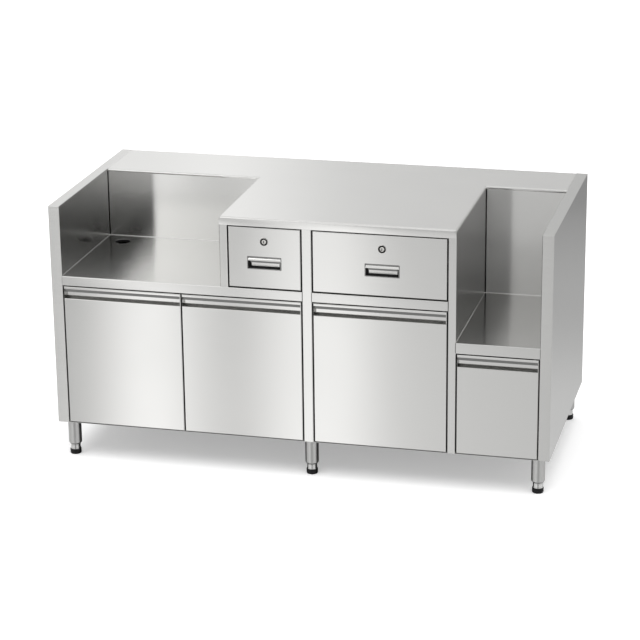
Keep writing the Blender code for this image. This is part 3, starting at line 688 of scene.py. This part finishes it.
def partition(side):
    """A double-skinned partition with eased front corners. Its front is a post beside the drawers."""
    node = "partition_" + side
    low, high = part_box(node)
    post_top = FASCIA_BOTTOM - SEAM
    mesh_data = box_mesh(low, (high.x, high.y, post_top))
    cut(mesh_data, (0, FRONT + 2 * EASE, 0), (0, 1, 0))
    sink(mesh_data, facing(mesh_data, (0, 0, 1)), (0, 0, TOP - TURN_DOWN - SEAM - post_top))
    corners = [edge for edge in edges_at(mesh_data, y=FRONT)
               if not lies_at(edge, 2, low.z) and not lies_at(edge, 2, post_top)]
    ease_edges(mesh_data, corners)
    # The right partition's face into the right well gets the darkened steel: painted shade
    if side == "right":
        paint([face for face in mesh_data.faces if face.normal.x > FACING], 1)
    post = finish_piece("post_" + side, mesh_data, FRONT_STEEL, "counter", [node])
    if side == "right":
        post.data.materials.append(PAINTED_SHADE_BLOCK_STEEL)


def back_panel():
    """The plain back sheet under the top's turned-down rear edge, with its lower edge folded in."""
    low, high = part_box("back_panel")
    high.z = TOP - TURN_DOWN - SEAM
    mesh_data = box_mesh(low, high)
    round_edges(mesh_data, edges_at(mesh_data, y=high.y, z=low.z), REAR_ROUND, 3)
    finish_piece("back_sheet", mesh_data, PANEL_STEEL, "counter", ["back_panel"])


# Doors

def door(name):
    """A door: the folded skin with its finger groove under a hooked lip, and the pan that closes its back."""
    body = "door_" + name
    low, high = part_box("door_back_" + name)
    skin_low, skin_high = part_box("door_skin_" + name)
    top = skin_top(name)
    bottom = low.z - SHEET - SEAM
    rear = high.y - SHEET - SEAM
    mesh_data = box_mesh((skin_low.x, FRONT, bottom), (skin_high.x, rear, top))
    ease_edges(mesh_data, edges_at(mesh_data, y=FRONT))
    cut_groove(mesh_data, top)
    finish_piece("skin_" + name, mesh_data, FRONT_STEEL, body, ["door_skin_" + name])
    wall = FRONT + GROOVE_DEPTH
    inset = SHEET + SEAM
    # A dark strip at the back of the groove under the lip: painted shade
    strip = box_mesh((low.x + 2 * SHEET, FRONT + STRIP_FRONT, top - STRIP_HEIGHT),
                     (high.x - 2 * SHEET, wall - SEAM, top - inset))
    round_edges(strip, edges_at(strip, y=FRONT + STRIP_FRONT), SHEET, 3)
    finish_piece("groove_strip_" + name, strip, PAINTED_SHADE_STEEL, body, [])
    pan = box_mesh((low.x + inset, rear + SEAM, low.z), (high.x - inset, high.y, top - inset - SHEET))
    round_edges(pan, edges_at(pan, y=high.y), REAR_ROUND, 3)
    finish_piece("pan_" + name, pan, MILL_STEEL, body, ["door_back_" + name])
    hinge_pins(name, body, top, bottom)


def cut_groove(mesh_data, top):
    """Cut the finger groove: a floor that slopes up to a back wall, and the hollow behind the lip."""
    groove_top = top - LIP_HEIGHT
    ledge = top - GROOVE_HEIGHT
    for height in (groove_top, ledge):
        cut(mesh_data, (0, 0, height), (0, 0, 1), [facing(mesh_data, (0, -1, 0))])
    middle = (groove_top + ledge) / 2
    strips = [face for face in mesh_data.faces if face.normal.y < -FACING]
    mouth = min(strips, key=lambda face: abs(face.calc_center_median().z - middle))
    for depth in (SHEET, GROOVE_DEPTH - SHEET):
        mouth = sink(mesh_data, mouth, (0, depth, 0))
        center = mouth.calc_center_median().z
        for vert in mouth.verts:
            if vert.co.z < center:
                vert.co.z += LEDGE_RISE * depth / GROOVE_DEPTH
    mesh_data.normal_update()
    ceilings = [face for face in flat_faces(mesh_data, groove_top) if face.normal.z < -FACING]
    behind = [face for face in ceilings if face.calc_center_median().y > FRONT + SHEET]
    hollow = bmesh.ops.extrude_face_region(mesh_data, geom=behind)
    bmesh.ops.translate(mesh_data, vec=(0, 0, LIP_HEIGHT - SHEET), verts=moved_verts(hollow))
    mesh_data.normal_update()
    round_edges(mesh_data, edges_at(mesh_data, y=FRONT, z=ledge), LEDGE_BEND, 3)
    round_edges(mesh_data, edges_at(mesh_data, y=FRONT, z=groove_top), RIM_ROUND, 2)


def skin_top(name):
    """The height of a door's top edge, under its rail."""
    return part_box("door_back_" + name)[1].z + SHEET + SEAM


def hinge_pins(name, body, top, bottom):
    """The two pivot pins of a door, turned with a chamfered end."""
    skin_low, skin_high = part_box("door_skin_" + name)
    joint = next(item for item in frame["joints"] if item["child"] == body)
    axis = Vector(joint["pos_m"])
    place = Matrix.Translation((axis.x, axis.y, 0))
    ends = {"upper": (top - SHEET, skin_high.z, 1), "lower": (bottom + SHEET, skin_low.z, -1)}
    for end, (base, tip, way) in ends.items():
        profile = [(0, tip), (PIN_RADIUS - PIN_CHAMFER, tip), (PIN_RADIUS, tip - way * PIN_CHAMFER),
                   (PIN_RADIUS, base), (0, base)]
        pin = turned_mesh(profile, place, PIN_STEPS)
        finish_piece("pin_{}_{}".format(end, name), pin, PIN_STEEL, body, [])


# Drawers

def drawer_front(name):
    """A drawer's front with eased edges and the pocket that its pull sits in."""
    node = "drawer_front_" + name
    low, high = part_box(node)
    cup_low, cup_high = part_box("drawer_pull_" + name)
    mesh_data = box_mesh(low, high)
    ease_edges(mesh_data, edges_at(mesh_data, y=low.y))
    face = facing(mesh_data, (0, -1, 0))
    bmesh.ops.inset_region(mesh_data, faces=[face], thickness=POCKET_INSET, use_even_offset=True)
    inner_low = Vector((cup_low.x + PULL_FRAME - POCKET_SLACK, 0, cup_low.z + PULL_FRAME - POCKET_SLACK))
    inner_high = Vector((cup_high.x - PULL_FRAME + POCKET_SLACK, 0, cup_high.z - PULL_FRAME + POCKET_SLACK))
    middle = face.calc_center_median()
    for vert in face.verts:
        vert.co.x = inner_low.x if vert.co.x < middle.x else inner_high.x
        vert.co.z = inner_low.z if vert.co.z < middle.z else inner_high.z
    sink(mesh_data, face, (0, cup_high.y + POCKET_SLACK - low.y, 0))
    lock_low, lock_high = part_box("lock_body_" + name)
    lock_pocket(mesh_data, (lock_low + lock_high) / 2, low.y)
    finish_piece("face_" + name, mesh_data, FRONT_STEEL, "drawer_" + name, [node])


def lock_pocket(mesh_data, center, depth):
    """Sink a square pocket behind a lock's bezel, so that the lock can sit in the drawer's front."""
    half = LOCK_POCKET / 2 + PLUG_RADIUS / 2
    for way in (Vector((1, 0, 0)), Vector((0, 0, 1))):
        for side in (-half, half):
            front = [face for face in mesh_data.faces if face.normal.y < -FACING
                     and abs(face.calc_center_median().y - depth) < SLACK]
            cut(mesh_data, center + way * side, way, front)
    spot = Vector((center.x, depth, center.z))
    front = [face for face in mesh_data.faces if face.normal.y < -FACING]
    square = min(front, key=lambda face: (face.calc_center_median() - spot).length)
    sink(mesh_data, square, (0, LOCK_POCKET, 0))


def pull(name):
    """A recessed pull: a thin frame and a tapering cup whose floor slopes up to its back. The cup's floor and
    sides are painted black as painted shade.
    """
    node = "drawer_pull_" + name
    low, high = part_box(node)
    flange = low.y
    mesh_data = rounded_plate(low.x, high.x, low.z, high.z, flange)
    plate = facing(mesh_data, (0, -1, 0))
    bmesh.ops.inset_region(mesh_data, faces=[plate], thickness=PULL_FRAME, use_even_offset=True,
                           use_boundary=True)
    cup = sink(mesh_data, plate, (0, high.y - flange, 0))
    middle = cup.calc_center_median()
    for vert in cup.verts:
        vert.co.x += math.copysign(PULL_TAPER, middle.x - vert.co.x)
        if vert.co.z < middle.z:
            vert.co.z += PULL_FLOOR_RISE
    mesh_data.normal_update()
    # Paint the cup's floor and side walls black: painted shade
    for edge in cup.edges:
        for wall in edge.link_faces:
            if wall is not cup and wall.normal.z > -0.5:
                wall.material_index = 1
    round_edges(mesh_data, list(cup.edges), PULL_FLOOR_ROUND, 3)
    outer = [edge for edge in mesh_data.edges if len(edge.link_faces) == 1]
    fold(mesh_data, outer, (0, FRONT - flange - SEAM, 0))
    bmesh.ops.recalc_face_normals(mesh_data, faces=mesh_data.faces)
    mesh_data.normal_update()
    front = [face for face in mesh_data.faces if abs(face.calc_center_median().y - flange) < SLACK]
    if sum(face.normal.y for face in front) > 0:
        bmesh.ops.reverse_faces(mesh_data, faces=mesh_data.faces)
    piece = finish_piece("pull_" + name, mesh_data, FRONT_STEEL, "drawer_" + name, [node],
                         thickness=SHEET / 3)
    piece.data.materials.append(PAINTED_SHADE_BLACK)
    hook(name, low, high)
    painted_shade_ring(name, low, high)


def painted_shade_ring(name, low, high):
    """A thin black ring round a pull's frame on the drawer's front: a painted shadow line round the frame."""
    ring = rounded_plate(low.x - SHADE_RING_WIDTH, high.x + SHADE_RING_WIDTH, low.z - SHADE_RING_WIDTH, high.z + SHADE_RING_WIDTH, FRONT - SEAM)
    plate = facing(ring, (0, -1, 0))
    bmesh.ops.inset_region(ring, faces=[plate], thickness=2 * SHADE_RING_WIDTH, use_even_offset=True, use_boundary=True)
    bmesh.ops.delete(ring, geom=[plate], context="FACES")
    finish_piece("gasket_" + name, ring, PAINTED_SHADE_BLACK, "drawer_" + name, [], thickness=SEAM)


def rounded_plate(left, right, bottom, top, depth):
    """A flat upright face with rounded corners that looks to the front."""
    mesh_data = bmesh.new()
    corners = [(left, bottom), (right, bottom), (right, top), (left, top)]
    plate = mesh_data.faces.new([mesh_data.verts.new((x, depth, z)) for x, z in corners])
    mesh_data.normal_update()
    if plate.normal.y > 0:
        plate.normal_flip()
    bmesh.ops.bevel(mesh_data, geom=list(mesh_data.verts), offset=PULL_CORNER, offset_type="OFFSET",
                    segments=3, profile=0.5, affect="VERTICES", material=-1)
    mesh_data.normal_update()
    return mesh_data


def hook(name, low, high):
    """The bowed lip over the pull's upper part, hemmed at its lower edge, and the backing behind it, darkened
    as painted shade under the lip.
    """
    left = low.x + PULL_FRAME
    right = high.x - PULL_FRAME
    top = high.z - PULL_FRAME
    face = low.y + SHEET / 4
    profile = [(face + depth, top - drop) for depth, drop in HOOK_PROFILE]
    mesh_data = bmesh.new()
    points = [mesh_data.verts.new((left, y, z)) for y, z in profile]
    edges = [mesh_data.edges.new(pair) for pair in zip(points, points[1:])]
    fold(mesh_data, edges, (right - left, 0, 0))
    mesh_data.normal_update()
    if sum(item.normal.y * item.calc_area() for item in mesh_data.faces) > 0:
        bmesh.ops.reverse_faces(mesh_data, faces=mesh_data.faces)
    finish_piece("hook_" + name, mesh_data, FRONT_STEEL, "drawer_" + name, [],
                 thickness=SHEET / 2)
    bottom = top - BACKING_HEIGHT
    backing = box_mesh((left + PULL_TAPER, face + BACKING_DEPTH, bottom),
                       (right - PULL_TAPER, high.y - PULL_FLOOR_ROUND, top - SEAM))
    round_edges(backing, edges_at(backing, z=bottom), RIM_ROUND, 2)
    finish_piece("backing_" + name, backing, PAINTED_SHADE_STEEL, "drawer_" + name, [])


def lock(name):
    """A cam lock: a rounded bezel with a well round its collar painted black as painted shade, and the plug
    with the key slot.
    """
    low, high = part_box("lock_body_" + name)
    center = (low + high) / 2
    place = Matrix.Translation((center.x, 0, center.z)) @ Matrix.Rotation(-math.pi / 2, 4, "X")
    body = "drawer_" + name
    face = low.y
    floor_depth = face + WELL_DEPTH
    rim = FRONT - SEAM
    bore = PLUG_RADIUS + SEAM
    round_size = (BEZEL_RADIUS - WELL_RADIUS) / 2
    bezel = [(WELL_RADIUS, floor_depth)]
    bezel += arc((BEZEL_RADIUS - round_size, face + round_size), round_size, -180, 0, 10)
    bezel += [(BEZEL_RADIUS, rim), (BEZEL_TAIL, rim), (BEZEL_TAIL, high.y)]
    bezel += [(bore, high.y), (bore, floor_depth), bezel[0]]
    turned_piece("bezel_" + name, bezel, place, NICKEL, body, ["lock_body_" + name])
    well = [(WELL_RADIUS + SEAM, floor_depth - SEAM), (COLLAR_RADIUS - SEAM, floor_depth - SEAM)]
    well += [(COLLAR_RADIUS - SEAM, floor_depth), (WELL_RADIUS + SEAM, floor_depth), well[0]]
    finish_piece("lock_well_" + name, turned_mesh(well, place), PAINTED_SHADE_BLACK, body, [])
    collar = [(COLLAR_RADIUS, floor_depth), (COLLAR_RADIUS, face + COLLAR_CHAMFER)]
    collar += [(COLLAR_RADIUS - COLLAR_CHAMFER, face), (bore, face + COLLAR_DISH)]
    collar += [(bore, floor_depth), collar[0]]
    turned_piece("lock_collar_" + name, collar, place, NICKEL, body, [])
    plug_low, plug_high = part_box("lock_plug_" + name)
    key_plug(name, center, plug_low.y, plug_high.y, place)


def key_plug(name, center, face, tail, place):
    """The turning plug of a lock, with a chamfered rim and a cut key slot whose floor and walls are painted
    black as painted shade.
    """
    profile = [(0, tail), (PLUG_RADIUS, tail), (PLUG_RADIUS, face + PLUG_CHAMFER),
               (PLUG_RADIUS - PLUG_CHAMFER, face)]
    plug = turned_mesh(profile, place)
    disc = bmesh.ops.contextual_create(plug, geom=edges_at(plug, y=face))["faces"][0]
    plug.normal_update()
    if disc.normal.y > 0:
        disc.normal_flip()
    half = KEY_SLOT / 2
    cuts = [((center.x - half.x, 0, 0), (1, 0, 0)), ((center.x + half.x, 0, 0), (1, 0, 0)),
            ((0, 0, center.z - half.y), (0, 0, 1)), ((0, 0, center.z + half.y), (0, 0, 1))]
    for point, way in cuts:
        cut(plug, point, way, plug_faces(plug, face))
    spot = Vector((center.x, face, center.z))
    slot_face = min(plug_faces(plug, face), key=lambda item: (item.calc_center_median() - spot).length)
    slot_floor = sink(plug, slot_face, (0, KEY_SLOT_DEPTH, 0))
    # The key slot's floor and walls are painted black: painted shade
    for edge in slot_floor.edges:
        paint(edge.link_faces, 1)
    piece = finish_piece("plug_" + name, plug, NICKEL, "lock_" + name, ["lock_plug_" + name],
                         sharp=40)
    piece.data.materials.append(PAINTED_SHADE_BLACK)


def plug_faces(plug, face):
    """The faces of a plug's front."""
    return [item for item in plug.faces if all(abs(vert.co.y - face) < SLACK for vert in item.verts)]


# Legs and feet

def leg(row, side):
    """A tube leg with a bevelled lower end, and its levelling foot's neck and base."""
    corner = "{}_{}".format(row, side)
    node = "leg_" + corner
    foot_node = "foot_" + corner
    low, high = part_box(node)
    center = (low + high) / 2
    place = Matrix.Translation((center.x, center.y, 0))
    plate_bottom = high.z - LEG_PLATE_THICKNESS
    shoulder = low.z + LEG_BEVEL_HEIGHT
    end_radius = LEG_RADIUS - LEG_BEVEL_INSET
    profile = [(0, plate_bottom), (LEG_RADIUS, plate_bottom)]
    profile += [(LEG_RADIUS, shoulder + SHOULDER_RISE), (LEG_RADIUS - SHOULDER_INSET, shoulder)]
    profile += [(end_radius, low.z + TUBE_END_RISE), (end_radius - TUBE_END_INSET, low.z), (0, low.z)]
    turned_piece("tube_" + corner, profile, place, TUBE_STEEL, "counter", [node])
    plate = box_mesh((low.x, low.y, plate_bottom), high)
    upright = [edge for edge in plate.edges if abs(edge.verts[0].co.z - edge.verts[1].co.z) > SLACK]
    round_edges(plate, upright, LEG_PLATE_CORNER)
    finish_piece("leg_plate_" + corner, plate, MILL_STEEL, "counter", [])
    foot_top = low.z - SEAM
    seat = BASE_TOP + NECK_SEAT
    neck = [(0, foot_top), (NECK_RADIUS - NECK_CHAMFER, foot_top), (NECK_RADIUS, foot_top - NECK_CHAMFER)]
    neck += [(NECK_RADIUS, NECK_BOTTOM + NECK_FLARE_RISE), (BASE_RADIUS - NECK_FLARE_INSET, seat), (0, seat)]
    turned_piece("neck_" + corner, neck, place, NECK_STEEL, foot_node, [foot_node])
    groove_radius = BASE_RADIUS - BASE_GROOVE_DEPTH
    base = [(0, BASE_TOP), (BASE_RADIUS - BASE_EDGE, BASE_TOP)]
    base += arc((BASE_RADIUS - BASE_EDGE, BASE_TOP - BASE_EDGE), BASE_EDGE, 90, 0, 4)
    base += [(BASE_RADIUS, BASE_GROOVE_TOP), (groove_radius, BASE_GROOVE_TOP - BASE_GROOVE_DEPTH)]
    base += [(groove_radius, BASE_GROOVE_BOTTOM + BASE_GROOVE_DEPTH), (BASE_RADIUS, BASE_GROOVE_BOTTOM)]
    base += arc((BASE_RADIUS - BASE_ROUND, BASE_ROUND), BASE_ROUND, 0, -90, 6)
    base += [(0, 0)]
    turned_piece("base_" + corner, base, place, BLACK_NYLON, foot_node, [foot_node])


# Nodes that keep their CAD shape

KEPT = {
    "bottom_sheet": MILL_STEEL,
    "drawer_box": MILL_STEEL,
    "drawer_rail": ZINC,
    "runner": ZINC,
    "lock_cam": ZINC,
    "door_catch": PALE_PLASTIC,
}


def dress_kept_nodes():
    """Give the CAD nodes that stay their finish."""
    for name, node in frame["nodes"].items():
        for start, material in KEPT.items():
            if name.startswith(start):
                node.data.materials.clear()
                node.data.materials.append(material)


# Studio

FLOOR_SIZE = 40.0
FLOOR_COLOR = 0.80
FLOOR_LIFT = 0.33
SHADE_INSET = 0.03
SHADE_LEVEL = 0.03
BESIDE_SIZE = 3.6
BESIDE_LEVELS = [(0.0, 0.68), (0.2, 0.62), (0.6, 0.44), (1.0, 0.36)]
KEY_STRENGTH = 2.7
KEY_WIDTH = 70.0
KEY_TURN = Vector((math.radians(10), 0.0, 0.0))
FILL_LEVEL = 0.5
CAMERA_PLACE = Vector((1.9554, -7.7557, 3.1644))
CAMERA_YAW = math.radians(14.27)
CAMERA_PITCH = math.radians(90 - 18.72)
CAMERA_ROLL = math.radians(-0.67)
CAMERA_LENS = 129.4
SENSOR_WIDTH = 36.0

HORIZON_BLUR = 0.12
PALE_LEVEL = 0.6
PALE_START = 3
CEILING_LEVEL = 0.72
CEILING_START = 38
CEILING_FULL = 52
FRONT_TURN = 0.25
FRONT_SECTOR = 24
RIPPLES = 84
RIPPLE = 0.28
# Light levels around the room by azimuth, from the front towards the right, and by elevation
ROOM_LEVELS = [(-172, 0.58), (-168, 0.63), (-165.5, 0.68), (-163.5, 1.1), (-161.5, 0.95), (-155, 0.8),
               (-140, 0.62), (-125, 0.88), (-110, 0.62), (-95, 0.88), (-80, 0.62), (-65, 0.9), (-50, 0.68),
               (-38, 1.0), (-24, 1.3), (-19.5, 1.34), (-18.3, 1.28), (-17.8, 1.16), (-17.3, 0.98),
               (-16.8, 0.82), (-16.3, 0.7), (-15.8, 0.6), (-15.2, 0.55), (-14, 0.95), (-12, 0.9),
               (-11, 0.5), (-8, 0.45), (-4, 0.08), (1, 0.02), (20.5, 0.02), (24, 0.03), (32, 0.04),
               (40, 0.2), (50, 0.95), (62, 0.66), (76, 0.95), (90, 0.68), (105, 0.9), (120, 0.62),
               (140, 0.65), (172, 0.5)]
FLOOR_LEVELS = [(-172, 0.45), (-160, 0.52), (-150, 0.74), (-138, 0.58), (-128, 0.84), (-118, 0.62),
                (-108, 0.88), (-98, 0.66), (-88, 0.92), (-78, 0.64), (-70, 0.9), (-62, 0.66), (-54, 0.94),
                (-46, 0.7), (-38, 0.95), (-30, 1.1), (-24, 0.8), (-21, 0.60), (-18.8, 1.5), (-16.7, 0.72),
                (-14.9, 1.32), (-14.0, 1.36), (-12.1, 0.82), (-8, 0.74), (3, 0.55), (6.5, 0.4), (8, 0.05),
                (12.5, 0.05), (15, 0.25), (17.4, 0.25), (18.2, 1.9), (18.9, 1.9), (19.1, 1.2), (19.4, 0.9),
                (19.7, 0.35), (20.2, 0.15), (21.5, 0.15), (24, 0.5), (32, 0.8), (40, 1.0), (48, 0.72),
                (56, 0.98), (64, 0.68), (74, 0.94), (84, 0.7), (94, 0.98), (104, 0.72), (114, 0.88),
                (126, 0.6), (140, 0.68), (150, 0.54), (165, 0.42)]
PALE_FLOOR_LEVELS = [(azimuth, PALE_LEVEL if PALE_START < azimuth < FRONT_SECTOR else level)
                     for azimuth, level in FLOOR_LEVELS]
# Share of the pale floor by elevation. The rest mirrors a dark patch that shows in the wells
PALE_SHARE = [(-90, 1.0), (-20, 1.0), (-18.2, 0.0), (-14, 0.0), (-12, 1.0), (90, 1.0)]
HEIGHT_LEVELS = [(-90, 0.62), (-40, 0.72), (-28, 0.95), (-24, 0.97), (-18, 1.0), (-15, 0.62), (-12.5, 0.5),
                 (-9, 0.8), (2, 1.0), (14, 1.0), (32, 1.0), (37, 1.4), (48, 1.4), (58, 1.1), (90, 1.1)]


def azimuth_ramp(tree, way, levels, ripple=0.0):
    """Grey levels round the horizon, from (azimuth, level) pairs: a fine ramp ahead, bands at the sides."""
    turn = add_node(tree, "TexGradient", Vector=way)
    turn.gradient_type = "RADIAL"
    fraction = turn.outputs["Fac"]
    around = sorted((((azimuth + 90) % 360) / 360, level) for azimuth, level in levels
                    if abs(azimuth) >= FRONT_SECTOR)
    ahead = sorted(((azimuth / FRONT_SECTOR + 1) / 2, level) for azimuth, level in levels
                   if abs(azimuth) <= FRONT_SECTOR)
    near = add_node(tree, "MapRange", Value=fraction, From_Min=(90 - FRONT_SECTOR) / 360,
                    From_Max=(90 + FRONT_SECTOR) / 360)
    off_axis = math_node(tree, "ABSOLUTE", math_node(tree, "SUBTRACT", fraction, FRONT_TURN))
    inside = math_node(tree, "LESS_THAN", off_axis, FRONT_SECTOR / 360)
    wave = math_node(tree, "SINE", math_node(tree, "MULTIPLY", fraction, math.tau * RIPPLES))
    bands = add_node(tree, "MapRange", Value=wave, From_Min=-1.0, To_Min=1 - ripple, To_Max=1 + ripple)
    sides = mix(tree, 1.0, ramp(tree, fraction, around), bands.outputs["Result"], blend="MULTIPLY")
    return mix(tree, inside, sides, ramp(tree, near.outputs["Result"], ahead))


def height_ramp(tree, upward, levels):
    """Grey levels by elevation, from (elevation, level) pairs."""
    stops = [((math.sin(math.radians(height)) + 1) / 2, level) for height, level in levels]
    fraction = add_node(tree, "MapRange", Value=upward, From_Min=-1.0)
    return ramp(tree, fraction.outputs["Result"], stops)


def smooth_share(tree, value, start, full):
    """A share that rises softly from 0 to 1 between two values."""
    node = add_node(tree, "MapRange", Value=value, From_Min=start, From_Max=full)
    node.interpolation_type = "SMOOTHSTEP"
    return node.outputs["Result"]


def world():
    """A soft room, bright on the left and dark at the front right, that the camera sees as white."""
    room = bpy.data.worlds.new("studio")
    room.use_nodes = True
    bpy.context.scene.world = room
    tree = room.node_tree
    way = add_node(tree, "TexCoord").outputs["Generated"]
    upward = add_node(tree, "SeparateXYZ", Vector=way).outputs["Z"]
    ground = mix(tree, height_ramp(tree, upward, PALE_SHARE), azimuth_ramp(tree, way, FLOOR_LEVELS, RIPPLE),
                 azimuth_ramp(tree, way, PALE_FLOOR_LEVELS, RIPPLE))
    above = smooth_share(tree, upward, -HORIZON_BLUR, HORIZON_BLUR)
    walled = mix(tree, above, ground, azimuth_ramp(tree, way, ROOM_LEVELS))
    overhead = smooth_share(tree, upward, math.sin(math.radians(CEILING_START)),
                            math.sin(math.radians(CEILING_FULL)))
    roofed = mix(tree, overhead, walled, grey(CEILING_LEVEL))
    shaded = mix(tree, 1.0, roofed, height_ramp(tree, upward, HEIGHT_LEVELS), blend="MULTIPLY")
    light = tree.nodes["Background"]
    tree.links.new(shaded, light.inputs["Color"])
    path = add_node(tree, "LightPath").outputs
    soft = add_node(tree, "Background", Color=grey(1.0), Strength=FILL_LEVEL)
    white = add_node(tree, "Background", Color=grey(1.0), Strength=1.0)
    lit = add_node(tree, "MixShader", Fac=path["Is Diffuse Ray"], n1=light.outputs[0], n2=soft.outputs[0])
    seen = add_node(tree, "MixShader", Fac=path["Is Camera Ray"], n1=lit.outputs[0], n2=white.outputs[0])
    tree.links.new(seen.outputs[0], tree.nodes["World Output"].inputs["Surface"])


def bare_material(name):
    """A material of the studio that has no nodes yet."""
    material = bpy.data.materials.new(name)
    material.use_nodes = True
    material.node_tree.nodes.clear()
    return material, material.node_tree


def cover(tree, shader):
    """Make a shader the surface of a bare material."""
    output = tree.nodes.new("ShaderNodeOutputMaterial")
    tree.links.new(shader.outputs[0], output.inputs["Surface"])


def floor():
    """A pale floor that the camera sees as white with the object's soft shadow on it."""
    mesh_data = bmesh.new()
    bmesh.ops.create_grid(mesh_data, x_segments=1, y_segments=1, size=FLOOR_SIZE / 2)
    ground = place_mesh("floor", mesh_data)
    ground.visible_glossy = False
    material, tree = bare_material("floor_paper")
    paper = add_node(tree, "BsdfDiffuse", Color=grey(FLOOR_COLOR))
    seen = add_node(tree, "LightPath").outputs["Is Camera Ray"]
    lift = add_node(tree, "Emission", Color=grey(1.0), Strength=math_node(tree, "MULTIPLY", seen, FLOOR_LIFT))
    cover(tree, add_node(tree, "AddShader", n0=paper.outputs[0], n1=lift.outputs[0]))
    ground.data.materials.append(material)


def mirrored_floor(name, low, high, levels):
    """A patch of floor that only mirrored rays see, with brightness levels along its depth."""
    mesh_data = bmesh.new()
    corners = [(low.x, low.y), (high.x, low.y), (high.x, high.y), (low.x, high.y)]
    mesh_data.faces.new([mesh_data.verts.new((x, y, 0.0)) for x, y in corners])
    patch = place_mesh(name, mesh_data)
    patch.visible_camera = False
    patch.visible_diffuse = False
    patch.visible_shadow = False
    material, tree = bare_material(name)
    depth = add_node(tree, "SeparateXYZ", Vector=object_place(tree)).outputs["Y"]
    along = add_node(tree, "MapRange", Value=depth, From_Min=low.y, From_Max=high.y).outputs["Result"]
    cover(tree, add_node(tree, "Emission", Color=ramp(tree, along, levels)))
    patch.data.materials.append(material)


def mirrored_floors():
    """The dark floor under the counter, and the pale floor beside it, as the steel mirrors them."""
    inset = Vector((SHADE_INSET, SHADE_INSET, 0))
    mirrored_floor("floor_shade", CAD_LOW + inset, CAD_HIGH - inset, [(0.0, SHADE_LEVEL), (1.0, SHADE_LEVEL)])
    near = Vector((CAD_HIGH.x + SHADE_INSET, CAD_LOW.y + 2 * SHADE_INSET, 0))
    mirrored_floor("floor_beside", near, near + Vector((BESIDE_SIZE, BESIDE_SIZE, 0)), BESIDE_LEVELS)


def key_light():
    """A wide soft light from above. It lights the floor and the plain plastic."""
    lamp = bpy.data.lights.new("key", "SUN")
    lamp.energy = KEY_STRENGTH
    lamp.angle = math.radians(KEY_WIDTH)
    key = bpy.data.objects.new("key", lamp)
    key.rotation_euler = KEY_TURN
    key.visible_glossy = False
    bpy.context.scene.collection.objects.link(key)


def camera():
    """The camera, at the photograph's angle."""
    lens = bpy.data.cameras.new("camera")
    lens.lens = CAMERA_LENS
    lens.sensor_width = SENSOR_WIDTH
    eye = bpy.data.objects.new("camera", lens)
    turn = Matrix.Rotation(CAMERA_YAW, 4, "Z") @ Matrix.Rotation(CAMERA_PITCH, 4, "X")
    eye.matrix_world = Matrix.Translation(CAMERA_PLACE) @ turn @ Matrix.Rotation(CAMERA_ROLL, 4, "Z")
    bpy.context.scene.collection.objects.link(eye)
    bpy.context.scene.camera = eye


def build():
    for side in ("left", "right"):
        side_panel(side)
        well_wall(side)
    worktop()
    deck("deck_left", "sheet_left", BLOCK_LEFT, LEFT_WELL_BACK, hole=True)
    deck("deck_right", "sheet_right", RIGHT_INSIDE, RIGHT_WELL_BACK)
    deck("drawer_floor", "sheet_center")
    for side in ("left", "center", "right"):
        partition(side)
    back_panel()
    for name in ("far_left", "mid_left", "center", "right"):
        door(name)
    for name in ("small", "large"):
        drawer_front(name)
        pull(name)
        lock(name)
    for row in ("front", "rear"):
        for side in ("left", "middle", "right"):
            leg(row, side)
    dress_kept_nodes()


build()
world()
floor()
mirrored_floors()
key_light()
camera()
bpy.context.scene.view_settings.view_transform = "Standard"
